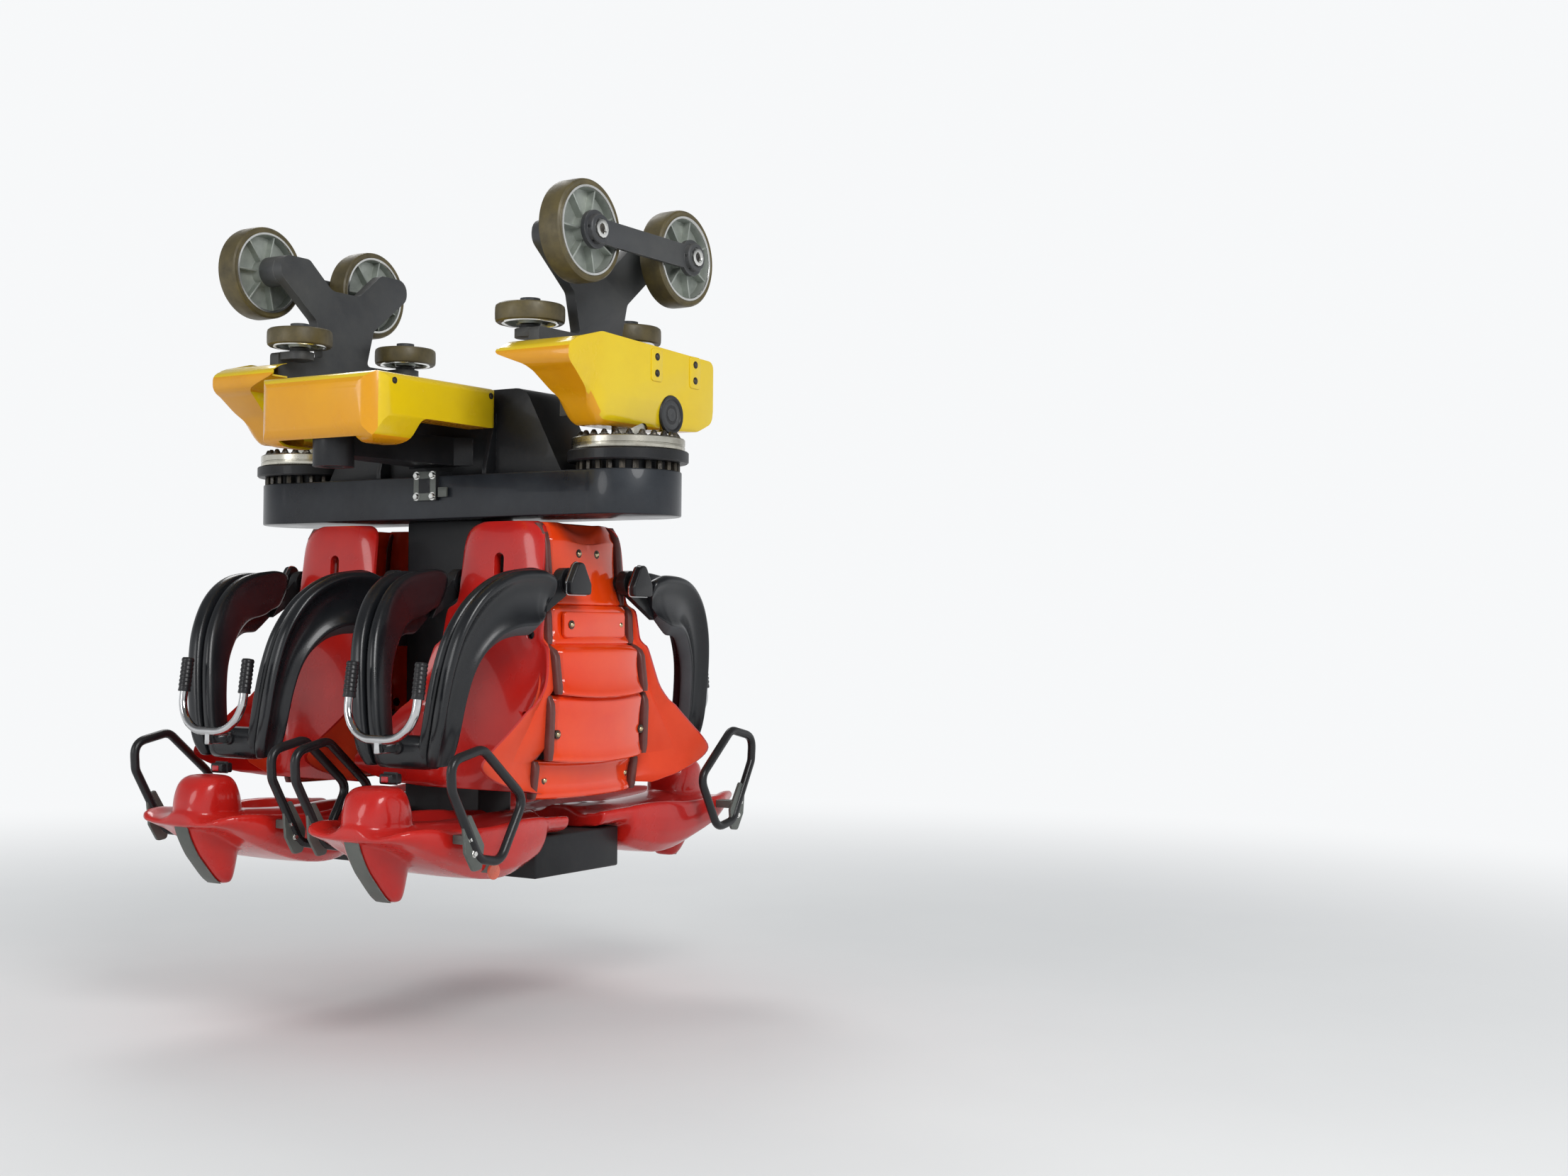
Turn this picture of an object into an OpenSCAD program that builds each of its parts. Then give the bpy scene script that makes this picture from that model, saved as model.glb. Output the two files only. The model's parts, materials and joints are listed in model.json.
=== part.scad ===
// Car of a suspended roller coaster: it hangs below two round rails and
// carries four seats, back to back. Millimetres. The origin lies midway between
// the two rail centre lines, at the middle of the car. X runs along the
// track, Y across it and Z up. The front is at -X, the left side at -Y.

/* [Track] */
// Distance between the two rail centre lines
gauge = 1280; // [1200:10:1400]
// Outer diameter of a rail tube
rail_d = 150; // [140:2:160]
// Free gap between a rail and the side and up-stop wheels
rail_gap = 3; // [1:0.5:5]

/* [Wheels] */
// Diameter of a road wheel, which rolls on top of the rail
road_d = 290; // [270:2:300]
// Width of a road wheel
road_w = 80; // [60:2:90]
// Distance between the two road wheel axles of a bogie
wheel_base = 470; // [450:5:520]
// Diameter of a side wheel, which rolls on the inner side of the rail
side_d = 200; // [170:2:210]
// Width of a side wheel
side_w = 60; // [50:2:66]
// Diameter of an up-stop wheel, which rolls below the rail
stop_d = 140; // [120:2:150]
// Width of an up-stop wheel
stop_w = 60; // [50:2:66]
// Distance between the two up-stop wheel axles of a bogie
stop_base = 300; // [260:5:340]
// Diameter of a road wheel axle
axle_d = 50; // [40:1:56]
// Diameter of a side or up-stop wheel axle
stub_d = 36; // [30:1:40]
// Thickness of the tread on every wheel
tread_t = 18; // [12:1:24]
// Radial clearance of a wheel on its axle
wheel_fit = 0.05; // [0.03:0.01:0.1]
// Gap between a wheel hub and what stands beside it
hub_gap = 3; // [2:0.5:5]

/* [Bogie] */
// Thickness of the bogie web plate
web_t = 36; // [28:1:40]
// Gap between the rail and the web plate
web_gap = 28; // [22:1:34]
// Thickness of the plate that joins the two road wheel axles
link_t = 14; // [10:1:20]
// Radial clearance of the link plate on the axle ends
link_fit = 0.3; // [0.2:0.05:0.5]
// Length of the bogie cover ahead of the slewing axis
cover_front = 365; // [340:5:390]
// Length of the bogie cover behind the slewing axis
cover_rear = 340; // [320:5:370]
// How far the outer face of the cover stands out from the rail centre
cover_out = 66; // [64:1:76]
// Depth of the cover below the rail centre line
cover_drop = 322; // [316:1:328]
// Wall thickness of the bogie cover
cover_wall = 8; // [5:0.5:10]
// Diameter of the round pivot end in the notch of the cover
pivot_end_d = 100; // [86:2:104]

/* [Slewing ring] */
// Gap between the studs of the ring and the bogie cover above them
stud_gap = 5; // [4:1:8]
// Height of the studs on the polished ring
stud_h = 18; // [14:1:24]
// Diameter of the neck that carries the bogie base
neck_d = 100; // [80:2:104]
// Height of the polished ring
band_h = 36; // [28:1:44]
// Diameter of the polished ring
band_d = 330; // [310:2:340]
// Height of the black flange under the ring
flange_h = 34; // [26:1:40]
// Diameter of the black flange
flange_d = 352; // [342:2:360]
// Height of the band of flange bolts
bolt_band_h = 25; // [18:1:32]
// Number of studs and of flange bolts on a ring
ring_bolts = 24; // [16:2:28]
// Diameter of the king pin in the middle of a ring
king_d = 120; // [100:2:140]
// Radial clearance of the king pin
king_fit = 0.05; // [0.03:0.01:0.1]
// Gap between the turning ring and the fixed flange
slew_gap = 0.5; // [0.3:0.1:1]

/* [Yoke beam] */
// Diameter of the drums at the ends of the beam
drum_d = 312; // [300:2:324]
// Height of the beam and its drums
beam_h = 130; // [110:2:150]
// Depth of the tower along the track
tower_x = 190; // [160:2:220]
// Half width of the tower at its foot
tower_foot = 470; // [440:5:480]
// Half width of the tower at its top
tower_top = 330; // [300:5:345]
// Depth of the tower top below the rail centre line
tower_drop = 185; // [180:1:200]
// Side of the square plate on the front of the tower
plate_w = 88; // [70:2:100]

/* [Coupling] */
// Distance of the front coupling pin from the middle of the car
coupling_x = 540; // [520:5:560]
// Distance of the rear coupling pin from the middle of the car
clevis_x = 235; // [215:5:260]
// Diameter of the bore for a coupling pin
coupling_bore = 60; // [50:1:66]
// Outer diameter of the coupling eyes
eye_d = 116; // [104:2:126]
// Length of the front eye along its pin
eye_h = 150; // [130:2:170]
// Thickness of one lug of the rear clevis
lug_t = 34; // [26:1:40]
// Free gap between the lugs of the rear clevis
lug_gap = 92; // [80:1:100]

/* [Hood] */
// Length of the hood over the front coupling
hood_l = 523; // [500:2:540]
// Width of the hood
hood_w = 474; // [440:2:500]
// Height of the hood
hood_h = 120; // [100:2:130]
// How much deeper the nose of the hood reaches
hood_nose = 78; // [60:2:90]
// Gap between the hood and the front of the tower
hood_gap = 12; // [6:1:20]
// Wall thickness of the hood
hood_wall = 7; // [5:0.5:10]

/* [Seats] */
// Distance from the middle of the car to the middle of a seat, across the track
seat_y = 330; // [320:2:345]
// Gap between the beam and the top of the seats
seat_gap = 15; // [10:1:20]
// Half width of the seat back at the head
head_w = 152; // [140:1:154]
// Half width of the seat back at the hips
hip_w = 232; // [215:1:240]
// Height of a seat back
back_h = 776; // [760:2:790]
// Distance of the front of the seat backs from the middle of the car
back_x = 250; // [246:1:260]
// Thickness of the seat back shell
shell_t = 34; // [26:1:38]
// Reach of the hip wings in front of the seat back
wing_reach = 296; // [270:2:300]
// Diameter of the round holes in the seat back
seat_hole_d = 26; // [18:1:34]
// Half width of a seat pan
pan_w = 222; // [205:1:232]
// Distance of the front edge of a seat pan from the middle of the car
pan_front = 798; // [792:2:806]
// Depth of the thigh surface below the seat top
pan_drop = 862; // [850:1:880]
// Half width of the saddle horn between the thighs
horn_w = 82; // [74:1:92]
// Depth of the top of the saddle horn below the seat top
horn_top = 735; // [725:1:750]

/* [Side panels] */
// Distance of the widest tier from the middle of the car
panel_y = 572; // [566:1:580]
// Half length of the widest tier along the track
panel_x = 245; // [238:1:250]
// Wall thickness of a side panel
panel_wall = 12; // [8:1:16]

/* [Backbone] */
// Width of the column along the track
column_x = 150; // [120:2:164]
// Width of the column across the track
column_y = 300; // [260:2:320]
// Half length of the lower box along the track
box_x = 196; // [180:1:204]
// Half width of the lower box across the track
box_y = 470; // [440:2:480]
// Height of the lower box
box_h = 120; // [100:2:130]

/* [Harness] */
// Distance of the harness hinge from the middle of the car
hinge_x = 150; // [140:1:156]
// Depth of the harness hinge below the seat top
hinge_drop = 175; // [168:1:190]
// Diameter of the hinge tube
hinge_d = 40; // [34:1:44]
// Outer diameter of the hinge boss
boss_d = 76; // [66:1:84]
// Radial clearance of a hinge boss on its tube
hinge_fit = 0.05; // [0.03:0.01:0.1]
// Distance of the hinge arms from the middle of the seat
arm_y = 200; // [198:1:204]
// Thickness of a hinge arm
arm_t = 20; // [14:1:24]
// Half thickness of the shoulder pads across the track
pad_half = 46; // [38:1:50]
// Diameter of the handle tube
handle_d = 24; // [20:1:28]
// Width of the handle between its tube centre lines
handle_w = 250; // [230:2:270]
// Diameter of a handle grip
grip_d = 36; // [32:1:40]
// Length of a handle grip
grip_l = 100; // [80:2:120]

/* [Hand loops] */
// Diameter of the hand loop tube
loop_d = 26; // [22:1:30]
// Distance of a hand loop from the middle of the seat
loop_y = 284; // [280:1:290]
// Bend radius of the hand loop tube
loop_bend = 46; // [40:1:55]
// Thickness of a hand loop bracket
bracket_t = 10; // [8:1:14]

/* [Hidden] */
$fn = 48;

// Colours of the finishes
black_paint = "#1c1d20";
steel_grey = "#6d6f72";
polished = "#c9c8c2";
cast_grey = "#8d8f8b";
tread_olive = "#5c5330";
cover_yellow = "#f2c500";
seat_red = "#e03a1c";
panel_orange = "#f0501e";
pad_black = "#222327";
chrome = "#d8d8d8";

// Places of the rails and wheels
rail_y = gauge / 2;
rail_r = rail_d / 2;
road_z = rail_r + road_d / 2;
stop_z = -(rail_r + rail_gap + stop_d / 2);
side_y = rail_y - rail_r - rail_gap - side_d / 2;
web_y1 = rail_y - rail_r - web_gap;
web_y0 = web_y1 - web_t;
wheel_fn = 72;
panel_back = panel_y - 140;

// Levels of the slewing ring, from the turret down to the beam
base_t = 22;
turret_z = -cover_drop + cover_wall + 30;
base_z = turret_z + base_t;
band_z = -cover_drop - stud_gap - stud_h;
flange_z = band_z - band_h - slew_gap;
bolt_z = flange_z - flange_h;
drum_z = bolt_z - bolt_band_h;
beam_z = drum_z - beam_h;
seat_z = beam_z - seat_gap;

// Small fixed sizes
lap_x = 575;
lap_drop = 650;
beam_drops = [330, 620];
clevis_drop = 110;
eye_drop = 62;
pivot_x = 122;
base_x = 145;
seat_fit = 0.3;
edge_t = 8;
nut_h = 18;
nut_d = 84;
stud_d = 20;
cap_t = 12;

function unit(v) = v / norm(v);
function lerp(a, b, t) = a + (b - a) * t;

// Arc that rounds the corner c between its neighbours p and q
function corner_arc(p, c, q, r, n) =
    r <= 0 ? [c] :
    let (
        u = unit(p - c),
        v = unit(q - c),
        half = acos(max(-1, min(1, u * v))) / 2,
        mid = c + unit(u + v) * r / sin(half),
        start = c + u * r / tan(half) - mid,
        end = c + v * r / tan(half) - mid,
        a = atan2(start.y, start.x),
        turn = atan2(end.y, end.x) - a,
        sweep = turn > 180 ? turn - 360 : turn < -180 ? turn + 360 : turn
    )
    [for (i = [0:n]) mid + r * [cos(a + sweep * i / n), sin(a + sweep * i / n)]];

// Outline with rounded corners, each given as [x, y, corner radius]
function rounded(c, n = 5) = [
    for (i = [0:len(c) - 1])
        let (p = c[(i + len(c) - 1) % len(c)], q = c[(i + 1) % len(c)])
        each corner_arc([p.x, p.y], [c[i].x, c[i].y], [q.x, q.y], c[i][2], n)
];

// Solid through a row of rings with the same number of points, each turning
// left as seen from the end towards which the row runs
module loft(rings) {
    n = len(rings[0]);
    m = len(rings);
    points = [for (r = rings) each r];
    sides = [
        for (k = [0:m - 2], i = [0:n - 1])
            let (j = (i + 1) % n, a = k * n + i, b = k * n + j, c = a + n, d = b + n)
            each [[a, d, b], [a, c, d]]
    ];
    first = [for (i = [0:n - 1]) i];
    last = [for (i = [n - 1:-1:0]) (m - 1) * n + i];
    polyhedron(points, concat([first], sides, [last]), convexity = 6);
}

// Half axes a and b and squareness e make a rounded ring of n points
function power(v, e) = sign(v) * pow(abs(v), e);
function oval(a, b, e, n) = [
    for (i = [0:n - 1]) let (t = 360 * i / n) [a * power(cos(t), e), b * power(sin(t), e)]
];

// Outline in the XZ plane, extruded from y0 to y1
module side_plate(outline, y0, y1) {
    translate([0, y1, 0])
        rotate([90, 0, 0])
            linear_extrude(y1 - y0) polygon(outline);
}

// Outline in the YZ plane, extruded from x0 to x1
module front_plate(outline, x0, x1) {
    translate([x0, 0, 0])
        rotate([90, 0, 90])
            linear_extrude(x1 - x0) polygon(outline);
}

// Cylinder along Y from y0 to y1
module rod_y(x, z, y0, y1, d, fn = 48) {
    translate([x, y1, z]) rotate([90, 0, 0]) cylinder(h = y1 - y0, d = d, $fn = fn);
}

// Round tube along a plane path in XY, as rings; a closed one has no ends
module tube(path, d, closed, n = 10) {
    m = len(path);
    function at(i) = closed ? path[(i + m) % m] : path[max(0, min(m - 1, i))];
    rings = [
        for (k = [0:m - 1])
            let (u = unit(at(k + 1) - at(k - 1)))
            [for (i = [0:n - 1])
                let (a = 360 * i / n)
                [at(k).x - u.y * cos(a) * d / 2, at(k).y + u.x * cos(a) * d / 2, sin(a) * d / 2]]
    ];
    if (closed) {
        faces = [
            for (k = [0:m - 1], i = [0:n - 1])
                let (j = (i + 1) % n, l = (k + 1) % m, a = k * n + i, b = k * n + j)
                each [[a, l * n + j, b], [a, l * n + i, l * n + j]]
        ];
        polyhedron([for (r = rings) each r], faces, convexity = 6);
    }
    else loft(rings);
}

// Places for what repeats: side is -1 left or 1 right, facing is -1 front or 1 rear
module on_side(side) {
    if (side > 0) children();
    else mirror([0, 1, 0]) children();
}
module at_seat(facing, side) {
    translate([0, side * seat_y, seat_z])
        scale_x(facing) on_side(side) children();
}
module scale_x(facing) {
    if (facing > 0) children();
    else mirror([1, 0, 0]) children();
}

// Yoke beam: closed drums under the slewing rings, joined by a box beam
module yoke_beam() {
    beam_x = drum_d / 2 - 6;
    color(black_paint) {
        for (side = [-1, 1])
            translate([0, side * rail_y, beam_z]) cylinder(h = beam_h, d = drum_d, $fn = 96);
        translate([-beam_x, -rail_y, beam_z]) cube([2 * beam_x, gauge, beam_h]);
    }
}

// Welded tower on the beam, with gussets and a square plate with four bolts in front
module tower() {
    foot_z = beam_z + beam_h + seat_fit;
    front_x = -tower_x / 2;
    beam_x = drum_d / 2 - 6;
    plate_z = beam_z + beam_h - 30;
    outline = rounded([
        [-tower_foot, foot_z, 0], [tower_foot, foot_z, 0],
        [tower_top, -tower_drop, 60], [-tower_top, -tower_drop, 60]
    ]);
    gusset = [
        [tower_x / 2 - 1, foot_z], [beam_x - 10, foot_z],
        [beam_x - 10, foot_z + 24], [tower_x / 2 - 1, foot_z + 190]
    ];
    color(black_paint) {
        front_plate(outline, front_x, tower_x / 2);
        for (side = [-1, 1], face = [-1, 1]) scale_x(face) on_side(side)
            side_plate(gusset, tower_top * 0.62, tower_top * 0.62 + 16);
        translate([-beam_x - 12, -plate_w / 2, foot_z]) cube([beam_x + 13 + front_x, plate_w, 14]);
        translate([-beam_x - 12, -plate_w / 2, plate_z - plate_w / 2])
            cube([12 - seat_fit, plate_w, foot_z + 14 - plate_z + plate_w / 2]);
        for (y = [-1, 1], z = [-1, 1])
            translate([-beam_x - 11, y * plate_w * 0.36, plate_z + z * plate_w * 0.36])
                rotate([0, -90, 0]) cylinder(h = 9, d = 17, $fn = 24);
    }
}

// Two lugs on a plate behind the tower take the coupling pin of the next car
module rear_clevis() {
    back = tower_x / 2 + seat_fit;
    low = clevis_z() - lug_gap / 2 - lug_t;
    high = clevis_z() + lug_gap / 2;
    color(black_paint) difference() {
        union() {
            translate([back, -eye_d / 2 - 12, low]) cube([16, eye_d + 24, high + lug_t - low]);
            for (z = [low, high]) {
                translate([clevis_x, 0, z]) cylinder(h = lug_t, d = eye_d, $fn = 64);
                translate([back, -eye_d / 2, z]) cube([clevis_x - back, eye_d, lug_t]);
            }
        }
        translate([clevis_x, 0, low - 1])
            cylinder(h = high + lug_t - low + 2, d = coupling_bore, $fn = 64);
    }
}
function clevis_z() = -tower_drop - clevis_drop;

// Fixed half of both slewing rings: bolted flange and the band of bolt heads
module slew_rings() {
    bolt_r = drum_d / 2 - 14;
    color(black_paint)
        for (side = [-1, 1]) translate([0, side * rail_y, 0]) {
            difference() {
                union() {
                    translate([0, 0, bolt_z]) cylinder(h = flange_h, d = flange_d, $fn = 96);
                    translate([0, 0, drum_z])
                        cylinder(h = bolt_band_h, d = drum_d - 60, $fn = 96);
                }
                translate([0, 0, drum_z - 1])
                    cylinder(h = flange_h + bolt_band_h + 2, d = king_d + 2 * king_fit, $fn = 64);
            }
            for (i = [0:ring_bolts - 1]) rotate([0, 0, i * 360 / ring_bolts])
                translate([bolt_r, 0, drum_z]) cylinder(h = bolt_band_h + 1, d = stud_d);
        }
}

// Turning half of a slewing ring, with the king pin and its crown of studs
module turret(side) {
    pin_z = drum_z + 2;
    color(polished) translate([0, side * rail_y, 0]) {
        translate([0, 0, pin_z]) cylinder(h = band_z - pin_z, d = king_d, $fn = 64);
        translate([0, 0, band_z - band_h]) cylinder(h = band_h, d = band_d, $fn = 96);
        translate([0, 0, band_z - 1]) cylinder(h = turret_z - band_z + 1, d = neck_d, $fn = 96);
        for (i = [0:ring_bolts - 1]) rotate([0, 0, (i + 0.5) * 360 / ring_bolts])
            translate([band_d / 2 - 24, 0, band_z - 1]) cylinder(h = stud_h + 1, d = stud_d);
    }
}

// Outline of the bogie web: arms to the road axles above, foot on the turret below
function web_outline() =
    let (
        a = wheel_base / 2,
        arm = axle_d * 0.9,
        neck = wheel_base / 2 - side_d / 2 - 38,
        shoulder = a + 52,
        foot = base_x
    )
    rounded([
        [-a - arm, road_z - 20, 40], [-a - arm, road_z + arm, 40],
        [-a + arm + 30, road_z + arm, 30], [-60, road_z - 40, 50],
        [60, road_z - 40, 50], [a - arm - 30, road_z + arm, 30],
        [a + arm, road_z + arm, 40], [a + arm, road_z - 20, 40],
        [neck + 30, side_w / 2 + 45, 30], [neck, -side_w / 2 - 14, 12],
        [shoulder, -side_w / 2 - 14, 12], [shoulder, -side_w / 2 - 84, 30],
        [foot, base_z + 30, 40], [foot, base_z - 1, 0],
        [-foot, base_z - 1, 0], [-foot, base_z + 30, 40],
        [-shoulder, -side_w / 2 - 84, 30], [-shoulder, -side_w / 2 - 14, 12],
        [-neck, -side_w / 2 - 14, 12], [-neck - 30, side_w / 2 + 45, 30]
    ]);

// Bogie frame: web plate inside the rail, axles on it and the base on the turret
module bogie_frame(side) {
    a = wheel_base / 2;
    s = stop_base / 2;
    arm_z = -side_w / 2 - 14;
    arm_h = 24;
    axle_y = rail_y + road_w / 2 + hub_gap + link_t + nut_h;
    stop_end = rail_y + stop_w / 2 + hub_gap;
    plate_y0 = stop_end + 2;
    plate_y1 = plate_y0 + 12;
    color(steel_grey) on_side(side) {
        side_plate(web_outline(), web_y0, web_y1);
        translate([-base_x, web_y0, turret_z]) cube([2 * base_x, plate_y1 - web_y0, base_t]);
        side_plate(rounded([
            [-195, -100, 20], [-195, -170, 30], [-base_x, turret_z, 0],
            [base_x, turret_z, 0], [215, -170, 30], [215, -100, 20]
        ]), plate_y0, plate_y1);
        for (x = [-1, 1]) {
            rod_y(x * a, road_z, web_y1 - 1, rail_y - road_w / 2 - hub_gap, axle_d + 44);
            rod_y(x * a, road_z, web_y1 - 1, axle_y, axle_d, 64);
            rod_y(x * s, stop_z, web_y1 - 1, rail_y - stop_w / 2 - hub_gap, stub_d + 30);
            rod_y(x * s, stop_z, web_y1 - 1, plate_y1, stub_d, 64);
            rod_y(x * s, stop_z, stop_end, rail_y + cover_out - cover_wall - seat_fit, stub_d + 22);
            side_arm(x * a, arm_z, arm_h);
        }
        pivot_end(plate_y1);
    }
}

// Arm below a side wheel, with its upright stub axle and end cap
module side_arm(x, z, h) {
    half = stub_d / 2 + 26;
    translate([x - half, side_y, z - h]) cube([2 * half, web_y0 + 1 - side_y, h]);
    translate([x, side_y, z - h]) cylinder(h = h, r = half, $fn = 48);
    translate([x, side_y, z - 1]) cylinder(h = -side_w / 2 - hub_gap - z + 1, d = stub_d + 26);
    translate([x, side_y, z - 1]) cylinder(h = side_w / 2 + hub_gap + cap_t - z + 1, d = stub_d, $fn = 64);
    translate([x, side_y, side_w / 2 + hub_gap]) cylinder(h = cap_t, d = stub_d + 22);
}

// Round pivot end that shows in the notch at the foot of the cover
function pivot_z() = -cover_drop + pivot_end_d / 2 + 7;
module pivot_end(y0) {
    face_y = rail_y + cover_out - 2;
    rod_y(pivot_x, pivot_z(), y0 - 1, face_y, 38);
    rod_y(pivot_x, pivot_z(), face_y - 10, face_y, pivot_end_d, 64);
}

// Plate that joins the outer ends of the two road axles, with slotted ring nuts
module wheel_link(side) {
    a = wheel_base / 2;
    y0 = rail_y + road_w / 2 + hub_gap;
    eye = axle_d + 58;
    waist = axle_d * 0.7;
    bar = rounded([
        [-a, road_z - waist, 0], [a, road_z - waist, 0],
        [a, road_z + waist, 0], [-a, road_z + waist, 0]
    ]);
    color(steel_grey) on_side(side) difference() {
        union() {
            side_plate(bar, y0, y0 + link_t);
            for (x = [-a, a]) {
                rod_y(x, road_z, y0, y0 + link_t, eye, 64);
                rod_y(x, road_z, y0 + link_t, y0 + link_t + nut_h - 4, nut_d, 64);
            }
        }
        for (x = [-a, a]) {
            rod_y(x, road_z, y0 - 1, y0 + link_t + nut_h, axle_d + 2 * link_fit, 64);
            for (k = [0:5]) translate([x, y0 + link_t + nut_h / 2 + 2, road_z])
                rotate([0, k * 60, 0]) translate([nut_d / 2, 0, 0]) cube([12, nut_h, 9], center = true);
        }
    }
}

// Outline of the cover seen from the side, drawn in by d for the hollow
function cover_outline(d) = [
    [-cover_front + d, -rail_r - 28, 70 - d], [-cover_front + d, -cover_drop + 96, 90 - d],
    [-cover_front + 116, -cover_drop + d, 60], [30, -cover_drop + 6 + d, 40],
    [cover_rear - 70, -cover_drop + 20 + d, 50], [cover_rear - d, -cover_drop + 52, 30 - d],
    [cover_rear - d, -rail_r - 8, 24 - d], [-cover_front + 150, -rail_r + 12, 60]
];
// Outline of the cover seen from the front: a narrow flank inside, deep outside
function cover_section(d) =
    let (inner = web_y0 - 58, outer = rail_y + cover_out)
    [
        [inner + d, -36, 12 - d / 2], [inner + d, -150, 30 - d / 2], [rail_y - 90, -cover_drop + 100, 60],
        [rail_y - 60, -cover_drop + d, 40], [outer - 10 - d, -cover_drop + d, 40 - d],
        [outer - d, -cover_drop + 90, 60], [outer - d, -36, 0]
    ];

// Moulded cover round the lower bogie: hollow, open above and towards the tower
module bogie_cover(side) {
    w = cover_wall;
    inner = web_y0 - 58;
    outer = rail_y + cover_out;
    web_room = wheel_base / 2 + 58;
    color(cover_yellow) on_side(side) difference() {
        cover_form(0, inner, outer);
        cover_form(w, inner, outer);
        cover_room(inner, outer);
        rod_y(pivot_x, pivot_z(), rail_y, outer + 1, pivot_end_d + 12, 64);
        translate([0, rail_y, -cover_drop - 60]) cylinder(h = 100, d = neck_d + 10, $fn = 96);
        translate([-web_room, inner - 2, -cover_drop - 1])
            cube([2 * web_room, web_y1 + 8 - inner, cover_drop]);
        translate([-base_x - 8, web_y1, turret_z - 8])
            cube([2 * base_x + 16, rail_y - 40 - web_y1, base_t + 16]);
    }
}
module cover_form(d, inner, outer) {
    intersection() {
        side_plate(rounded(cover_outline(d)), inner - 1, outer + 1);
        front_plate(rounded(cover_section(d)), -cover_front - 1, cover_rear + 1);
    }
}
// Room for the rail above the cover and for the arms of the side wheels
module cover_room(inner, outer) {
    translate([-cover_front - 2, rail_y, 0]) rotate([0, 90, 0])
        cylinder(h = cover_front + cover_rear + 4, r = rail_r + 8, $fn = 96);
    translate([-cover_front + cover_wall, inner - 2, -rail_r - 10])
        cube([cover_front + cover_rear - 2 * cover_wall, outer - cover_wall - inner + 2, 200]);
    translate([-cover_front + cover_wall, inner - 2, -200])
        cube([cover_front + cover_rear - 2 * cover_wall, cover_wall + 4, 400]);
}

// Wheel about the Z axis, centred on its width: cast hub with ribs, tyre tread
module wheel(d, w, bore_d, ribs) {
    rim_r = d / 2 - tread_t;
    rim_t = 9;
    hub_r = bore_d / 2 + 16;
    web_half = w * 0.09;
    color(cast_grey) {
        difference() {
            union() {
                rotate_extrude($fn = wheel_fn) polygon([
                    [hub_r - 10, -w / 2], [hub_r, -w / 2], [hub_r + 3, -web_half],
                    [rim_r - rim_t - 3, -web_half], [rim_r - rim_t, -w / 2 + 3],
                    [d / 2 - 5, -w / 2 + 3], [d / 2, -w / 2 + 8], [d / 2, w / 2 - 8],
                    [d / 2 - 5, w / 2 - 3], [rim_r - rim_t, w / 2 - 3],
                    [rim_r - rim_t - 3, web_half], [hub_r + 3, web_half],
                    [hub_r, w / 2], [hub_r - 10, w / 2]
                ]);
                for (i = [0:ribs - 1]) rotate([0, 0, i * 360 / ribs])
                    translate([hub_r - 6, -3, -w / 2 + 9]) cube([rim_r - rim_t - hub_r + 8, 6, w - 18]);
                translate([0, 0, -w / 2]) cylinder(h = w, r = hub_r - 4, $fn = 64);
            }
            translate([0, 0, -w / 2 - 1]) cylinder(h = w + 2, d = bore_d, $fn = 64);
        }
    }
}
module road_wheel(side, end) {
    translate([end * wheel_base / 2, side * rail_y, road_z]) rotate([90, 0, 0])
        wheel(road_d, road_w, axle_d + 2 * wheel_fit, 7);
}
module side_wheel(side, end) {
    translate([end * wheel_base / 2, side * side_y, 0])
        wheel(side_d, side_w, stub_d + 2 * wheel_fit, 5);
}
module stop_wheel(side, end) {
    translate([end * stop_base / 2, side * rail_y, stop_z]) rotate([90, 0, 0])
        wheel(stop_d, stop_w, stub_d + 2 * wheel_fit, 5);
}

// Arm ahead of the tower with the upright eye of the front coupling
module coupler_arm() {
    z = coupling_z();
    arm_h = 84;
    color(black_paint) difference() {
        union() {
            translate([-coupling_x, 0, z - eye_h / 2]) cylinder(h = eye_h, d = eye_d, $fn = 64);
            translate([-coupling_x, 0, z - arm_h / 2]) linear_extrude(arm_h) polygon([
                [0, -46], [coupling_x - tower_x / 2 - 30, -80], [coupling_x - tower_x / 2, -130],
                [coupling_x - tower_x / 2, 130], [coupling_x - tower_x / 2 - 30, 80], [0, 46]
            ]);
        }
        translate([-coupling_x, 0, z - eye_h / 2 - 1])
            cylinder(h = eye_h + 2, d = coupling_bore, $fn = 64);
    }
    post_top = -tower_drop - hood_h / 2;
    bar_half = hood_w / 2 - hood_wall - seat_fit;
    color(black_paint) {
        translate([-330, -40, z + arm_h / 2 - 1]) cube([40, 80, post_top - z - arm_h / 2 + 1]);
        translate([-330, -bar_half, post_top - 20]) cube([40, 2 * bar_half, 20]);
    }
}
function coupling_z() = -tower_drop - hood_h - eye_drop;

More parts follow.
